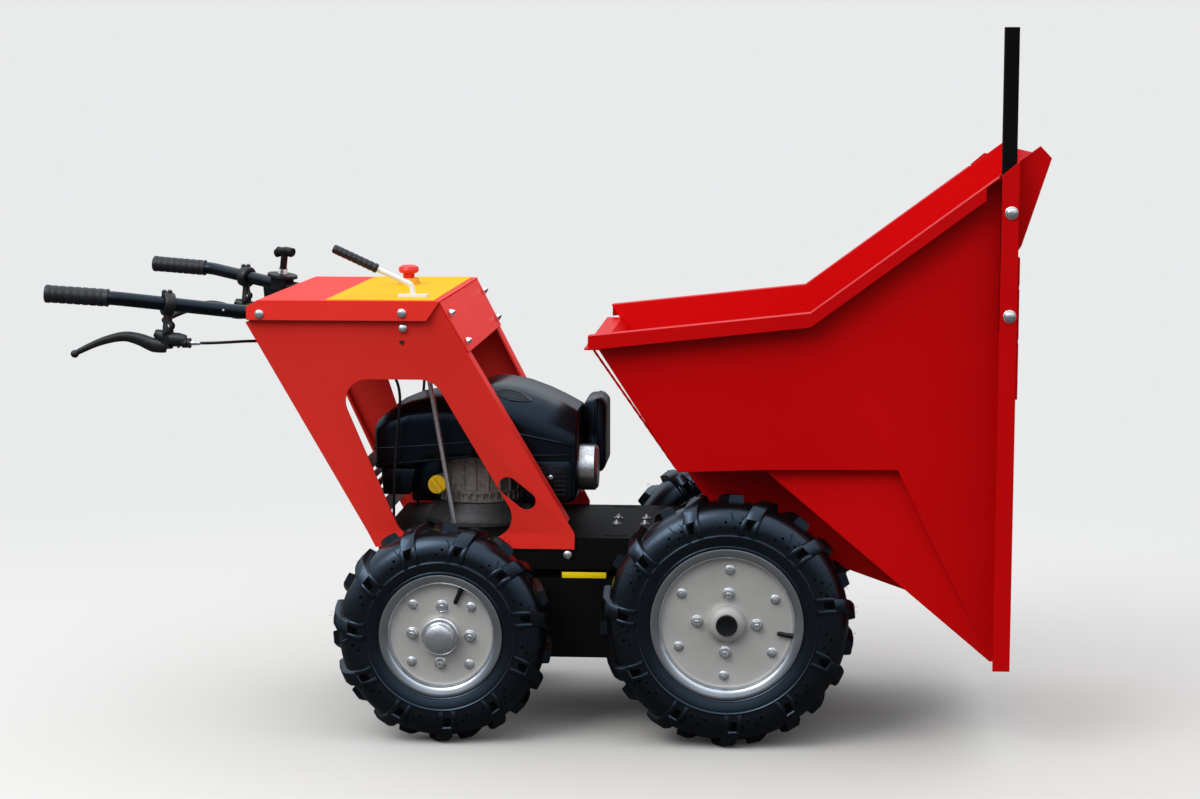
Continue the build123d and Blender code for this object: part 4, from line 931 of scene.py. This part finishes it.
# Oil cap: bright yellow plastic with a soft gloss.
cap_yellow = finish("yellow_cap_plastic", "#E3B40C", "#EFC41B", 11.1, edge=0.001, Roughness=0.35)
dress(cast, "engine_block")
dress(plastic, "air_cleaner")
dress(plated, "starter_cap")
dress(cap_yellow, "oil_cap")
foot_r = 12
# Each row is a cross-section: dx, lowest and highest z, half width and upper corner radius.
cowl_rows = ((-480, 502.3, 628, 118, 52), (-476, 502.3, 633, 123, 56), (-450, 502.3, 641, 127, 62))
cowl_rows += ((-425, 502.3, 640, 128, 66), (-395, 502.3, 635, 128, 70), (-386, 418, 633, 128, 72))
cowl_rows += ((-350, 417, 620, 127, 72), (-320, 417, 606, 125, 70), (-300, 419, 595, 123, 66))
cowl_rows += ((-288, 426, 588, 120, 60), (-285, 434, 582, 114, 54))
tank_rows = ((-668, 486, 552, 100, 20), (-666.5, 482, 562, 112, 22), (-662, 480.5, 570, 118, 24))
tank_rows += ((-652, 480, 580, 120, 28), (-636, 480, 591, 120, 32), (-600, 480, 606, 120, 36))
tank_rows += ((-560, 502, 614, 120, 40), (-480.5, 502.3, 614, 120, 42))
tank_rear_foot = [(-652, 431), (-656, 481), (-590, 481), (-601, 431)]
tank_front_foot = [(-604, 412), (-604, 482), (-552, 503), (-548, 470), (-558, 412)]


def station(dx, low, high, half, corner, sides=6):
    """A rounded cross-section of a moulding at dx, from low to high, of this half width."""
    ring = []
    for cy, cz, r, start in (
        (half - corner, high - corner, corner, 0.0),
        (-half + corner, high - corner, corner, pi / 2),
        (-half + foot_r, low + foot_r, foot_r, pi),
        (half - foot_r, low + foot_r, foot_r, 1.5 * pi),
    ):
        for k in range(sides + 1):
            a = start + k * pi / 2 / sides
            ring.append(mm(dx, cy + r * cos(a), cz + r * sin(a)))
    return ring


bm = bmesh.new()
skin(bm, [station(*row) for row in cowl_rows])
piece("engine_cowl_form", bm, cowl_black, "chassis", smooth=30, stands_for="engine_cowl")
bm = bmesh.new()
skin(bm, [station(*row) for row in tank_rows])
plank(bm, tank_rear_foot, -113, 113, 0.004)
plank(bm, tank_front_foot, -66, 96, 0.004)
piece("fuel_tank_form", bm, cowl_black, "chassis", smooth=30, stands_for="fuel_tank")

# Engine trim: the crease round the cowl's waist, the seam above the louvre block, the tank's
# parting line and the louvre block itself, all moulded with the cowl and the tank.
waist = ((-440, 126.5, 560), (-380, 128.6, 548), (-320, 127.2, 536), (-290, 121.5, 528))
seam = ((-384, 128.4, 512), (-340, 128.2, 511), (-300, 124.6, 512))
parting = ((-667, 120, 520), (-600, 120.3, 524), (-481, 120.3, 534))
tank_ledge = [(-664, 483), (-484, 505), (-484, 509), (-666, 489)]
louvre_block = [(-378, 498), (-300, 500), (-294, 494), (-294, 432), (-304, 424), (-372, 424), (-378, 430)]
block_face = 131.5
bm = bmesh.new()
for side in (-1, 1):
    bead(bm, curve([mm(dx, side * y, z) for dx, y, z in waist]), 0.0024, 8)
    bead(bm, curve([mm(dx, side * y, z) for dx, y, z in seam]), 0.0014, 8)
    bead(bm, [mm(dx, side * y, z) for dx, y, z in parting], 0.0016, 8)
    plank(bm, tank_ledge, side * 119.8, side * 121.6, 0.0005)
    plank(bm, louvre_block, side * 126, side * block_face, 0.0015)
piece("engine_trim", bm, cowl_black, "chassis", smooth=40)

# Louvres: two columns of slots in the moulded block, drawn as thin plates in painted shadow,
# darker than the moulding round them, with one plated screw between the columns.
# Painted shadow for the inside of a slot: no colour and no shine.
slot_painted_shadow = finish("vent_shadow", "#020203", "#060708", 5, Roughness=0.8)
louvre_columns = ((-368, -338), (-328, -304))
louvre_count = 7
louvre_pitch = 8.4
louvre_height = 3.6
bm = bmesh.new()
for side in (-1, 1):
    for k in range(louvre_count):
        z = 436 + louvre_pitch * k
        top = z + louvre_height
        for x0, x1 in louvre_columns:
            slot = [(x0, z), (x1, z), (x1, top), (x0, top)]
            plank(bm, slot, side * (block_face - 0.3), side * (block_face + 0.3), 0.0002)
piece("cowl_louvres", bm, slot_painted_shadow, "chassis")
bm = bmesh.new()
for side in (-1, 1):
    dome_bolt(bm, mm(-333, side * block_face, 470), (0, side, 0), 0.0048, 0.0024)
piece("cowl_bolts", bm, plated, "chassis")

# Mesh vents: a raised oval lattice on each shoulder of the cowl, moulded in one with it, where
# the engine takes in its cooling air.
# Lattice: the cowl's plastic with a painted highlight, greyer than the cowl, as if its thin bars
# caught the sky.
lattice_painted_sheen = finish("vent_lattice_painted_sheen", "#1B2126", "#2A333A", 5, Roughness=0.4)
# Each row is dx, half width, highest z and corner radius of the cowl's shoulder.
shoulder_rows = ((-450, 127, 641, 62), (-425, 128, 640, 66), (-395, 128, 635, 70), (-350, 127, 620, 72))
vent_middle = -408
vent_half = 37
vent_angle = radians(50)
vent_lift = 0.4
lattice_half = 7
lattice_pitch = 5
edge_steps = 16


def shoulder(side, dx, a):
    """A point just above the cowl's rounded shoulder, at dx and at angle a from its side."""
    for near, far in zip(shoulder_rows, shoulder_rows[1:]):
        if dx <= far[0] or far is shoulder_rows[-1]:
            break
    share = (dx - near[0]) / (far[0] - near[0])
    half, high, corner = (p + (q - p) * share for p, q in zip(near[1:], far[1:]))
    reach = corner + vent_lift
    return mm(dx, side * (half - corner + reach * cos(a)), high - corner + reach * sin(a))


bm = bmesh.new()
for side in (-1, 1):
    for k in range(-lattice_half, lattice_half + 1):
        across = vent_middle + lattice_pitch * k
        half_angle = 0.16 * (1 - (lattice_pitch * k / vent_half) ** 2)
        for lean in (1, -1):
            low = shoulder(side, across - 3 * lean, vent_angle - half_angle)
            high = shoulder(side, across + 3 * lean, vent_angle + half_angle)
            bead(bm, [low, high], 0.0010, 6)
    for flip in (1, -1):
        edge = []
        for k in range(edge_steps + 1):
            t = -1 + 2 * k / edge_steps
            edge.append(shoulder(side, vent_middle + vent_half * t, vent_angle + flip * 0.18 * (1 - t * t)))
        bead(bm, edge, 0.0014, 6)
piece("cowl_vents", bm, lattice_painted_sheen, "chassis")

# Crankcase: die cast, with upright cooling ribs, a ring of teeth between two collars and an
# inlet stub. It is bolted to the deck through a darker flange.
block_middle = mm(-480, 0, 0)
block_axis = Matrix.Translation(block_middle)
cooling_ribs = 22
teeth = 40
stub = ((-74, 0.0145), (-104, 0.0125), (-115, 0.0125))
flange = [(0.082, 0.3664), (0.101, 0.3664), (0.103, 0.369), (0.103, 0.376), (0.1, 0.379)]
flange += [(0.094, 0.392), (0.0885, 0.41), (0.082, 0.411)]


def rib_ring(bm, count, radius, foot, top, rib_r, sides):
    """Upright ribs spread round the crankcase's axis, from foot to top."""
    for n in range(count):
        a = 2 * pi * n / count
        at = block_middle + Vector((radius * sin(a), radius * cos(a), 0))
        bead(bm, [at + Vector((0, 0, foot)), at + Vector((0, 0, top))], rib_r, sides)


bm = bmesh.new()
rib_ring(bm, cooling_ribs, 0.0825, 0.432, 0.498, 0.0026, 8)
for z in (0.428, 0.412):
    ring = [(0.081, z), (0.0865, z + 0.001), (0.0865, z + 0.005), (0.081, z + 0.006)]
    turned(bm, ring, block_axis, 64)
rib_ring(bm, teeth, 0.0845, 0.416, 0.43, 0.0024, 6)
bead(bm, [mm(-548, y, 453) for y, r in stub], [r for y, r in stub], 24)
piece("crankcase_ribs", bm, cast, "chassis")
bm = bmesh.new()
turned(bm, flange, block_axis, 64)
piece("crankcase_flange", bm, dark_cast, "chassis")

# Air cleaner: a moulded cover with a raised border round its middle, fixed to the front of the
# engine on its far half.
cleaner_cover = [(-284.5, 470), (-284.5, 588), (-276, 598), (-252, 600)]
cleaner_cover += [(-240, 588), (-240, 470), (-248, 458), (-276, 458)]
cleaner_border = [(-262, 459), (-256, 459), (-256, 600), (-262, 600)]
bm = bmesh.new()
plank(bm, cleaner_cover, 19, 150, 0.005)
plank(bm, cleaner_border, 18, 151, 0.001)
piece("air_cleaner_form", bm, cowl_black, "chassis", smooth=40, stands_for="air_cleaner")

# Studio: a pale floor that carries on into a pale backdrop, under a sky and two wide soft
# lamps, a strong one above on the camera's left and a weak one across from it.
# Floor paper: a pale even grey with no shine.
studio = finish("studio_floor", "#CECBC6", "#D0CDC8", 5000, Roughness=0.95, Specular_IOR_Level=0.0)
backdrop = colour("#E9EAEB")
paving = colour("#4E4C4A")
bm = bmesh.new()
bmesh.ops.create_grid(bm, x_segments=1, y_segments=1, size=40)
floor_mesh = bpy.data.meshes.new("floor")
bm.to_mesh(floor_mesh)
bm.free()
floor_mesh.materials.append(studio)
floor = bpy.data.objects.new("floor", floor_mesh)
bpy.context.scene.collection.objects.link(floor)
# Only the camera sees the floor pale. What it throws back at the machine is a paving grey.
tree = studio.node_tree
seen = add_node(tree, "ShaderNodeLightPath").outputs["Is Camera Ray"]
shader = tree.nodes["Principled BSDF"]
pale = shader.inputs["Base Color"].links[0].from_socket
tone = add_node(tree, "ShaderNodeMixRGB", {"Fac": seen, "Color1": paving, "Color2": pale})
tree.links.new(tone.outputs["Color"], shader.inputs["Base Color"])
# Away from the machine the floor turns into the backdrop, so that no horizon shows.
spot = add_node(tree, "ShaderNodeTexCoord").outputs["Object"]
reach = add_node(tree, "ShaderNodeVectorMath", {0: spot}, operation="LENGTH").outputs["Value"]
share = add_node(tree, "ShaderNodeMapRange", {"Value": reach, "From Min": 1.0, "From Max": 3.6})
share.interpolation_type = "SMOOTHSTEP"
far = add_node(tree, "ShaderNodeMath", {0: share.outputs["Result"], 1: seen}, operation="MULTIPLY")
glow = add_node(tree, "ShaderNodeEmission", {"Color": backdrop, "Strength": 1.0})
both = add_node(
    tree,
    "ShaderNodeMixShader",
    {0: far.outputs["Value"], 1: shader.outputs["BSDF"], 2: glow.outputs["Emission"]},
)
tree.links.new(both.outputs["Shader"], tree.nodes["Material Output"].inputs["Surface"])

# The sky that lights the machine is brightest overhead and dim at the horizon, as in an open
# yard with buildings round it. The camera sees an even pale backdrop in its place.
world = bpy.data.worlds.new("studio_sky")
bpy.context.scene.world = world
world.use_nodes = True
sky = world.node_tree
background = sky.nodes["Background"]
seen = add_node(sky, "ShaderNodeLightPath").outputs["Is Camera Ray"]
way = add_node(sky, "ShaderNodeTexCoord").outputs["Generated"]
height = add_node(sky, "ShaderNodeSeparateXYZ", {"Vector": way}).outputs["Z"]
dome = add_node(sky, "ShaderNodeValToRGB", {"Fac": height})
for stop, position, code in zip(dome.color_ramp.elements, (0.02, 0.75), ("#5A6068", "#F4F9FF")):
    stop.position = position
    stop.color = colour(code)
light = dome.outputs["Color"]
tone = add_node(sky, "ShaderNodeMixRGB", {"Fac": seen, "Color1": light, "Color2": backdrop})
sky.links.new(tone.outputs["Color"], background.inputs["Color"])
level = add_node(sky, "ShaderNodeMapRange", {"Value": seen, "To Min": 1.6, "To Max": 1.0})
sky.links.new(level.outputs["Result"], background.inputs["Strength"])


def lamp(name, spot, target, size, power):
    """A square soft lamp at spot, aimed at target."""
    data = bpy.data.lights.new(name, "AREA")
    data.size = size
    data.energy = power
    made = bpy.data.objects.new(name, data)
    made.location = spot
    made.rotation_mode = "QUATERNION"
    made.rotation_quaternion = (Vector(target) - Vector(spot)).to_track_quat("-Z", "Y")
    bpy.context.scene.collection.objects.link(made)


lamp("key_lamp", (-2.4, -3.4, 4.2), (0, 0, 0.5), 3.0, 125)
lamp("far_lamp", (2.6, 3.2, 3.6), (0, 0, 0.5), 3.0, 15)

# Camera: at the photograph's place and angle, from the near side.
camera_data = bpy.data.cameras.new("camera")
camera_data.sensor_width = 36
camera_data.lens = 73.4
camera = bpy.data.objects.new("camera", camera_data)
camera.location = (front_x + 0.076, -4.63, 1.184)
camera.rotation_euler = (radians(82.84), 0, radians(4.03))
bpy.context.scene.collection.objects.link(camera)
bpy.context.scene.camera = camera
bpy.context.scene.view_settings.view_transform = "Standard"
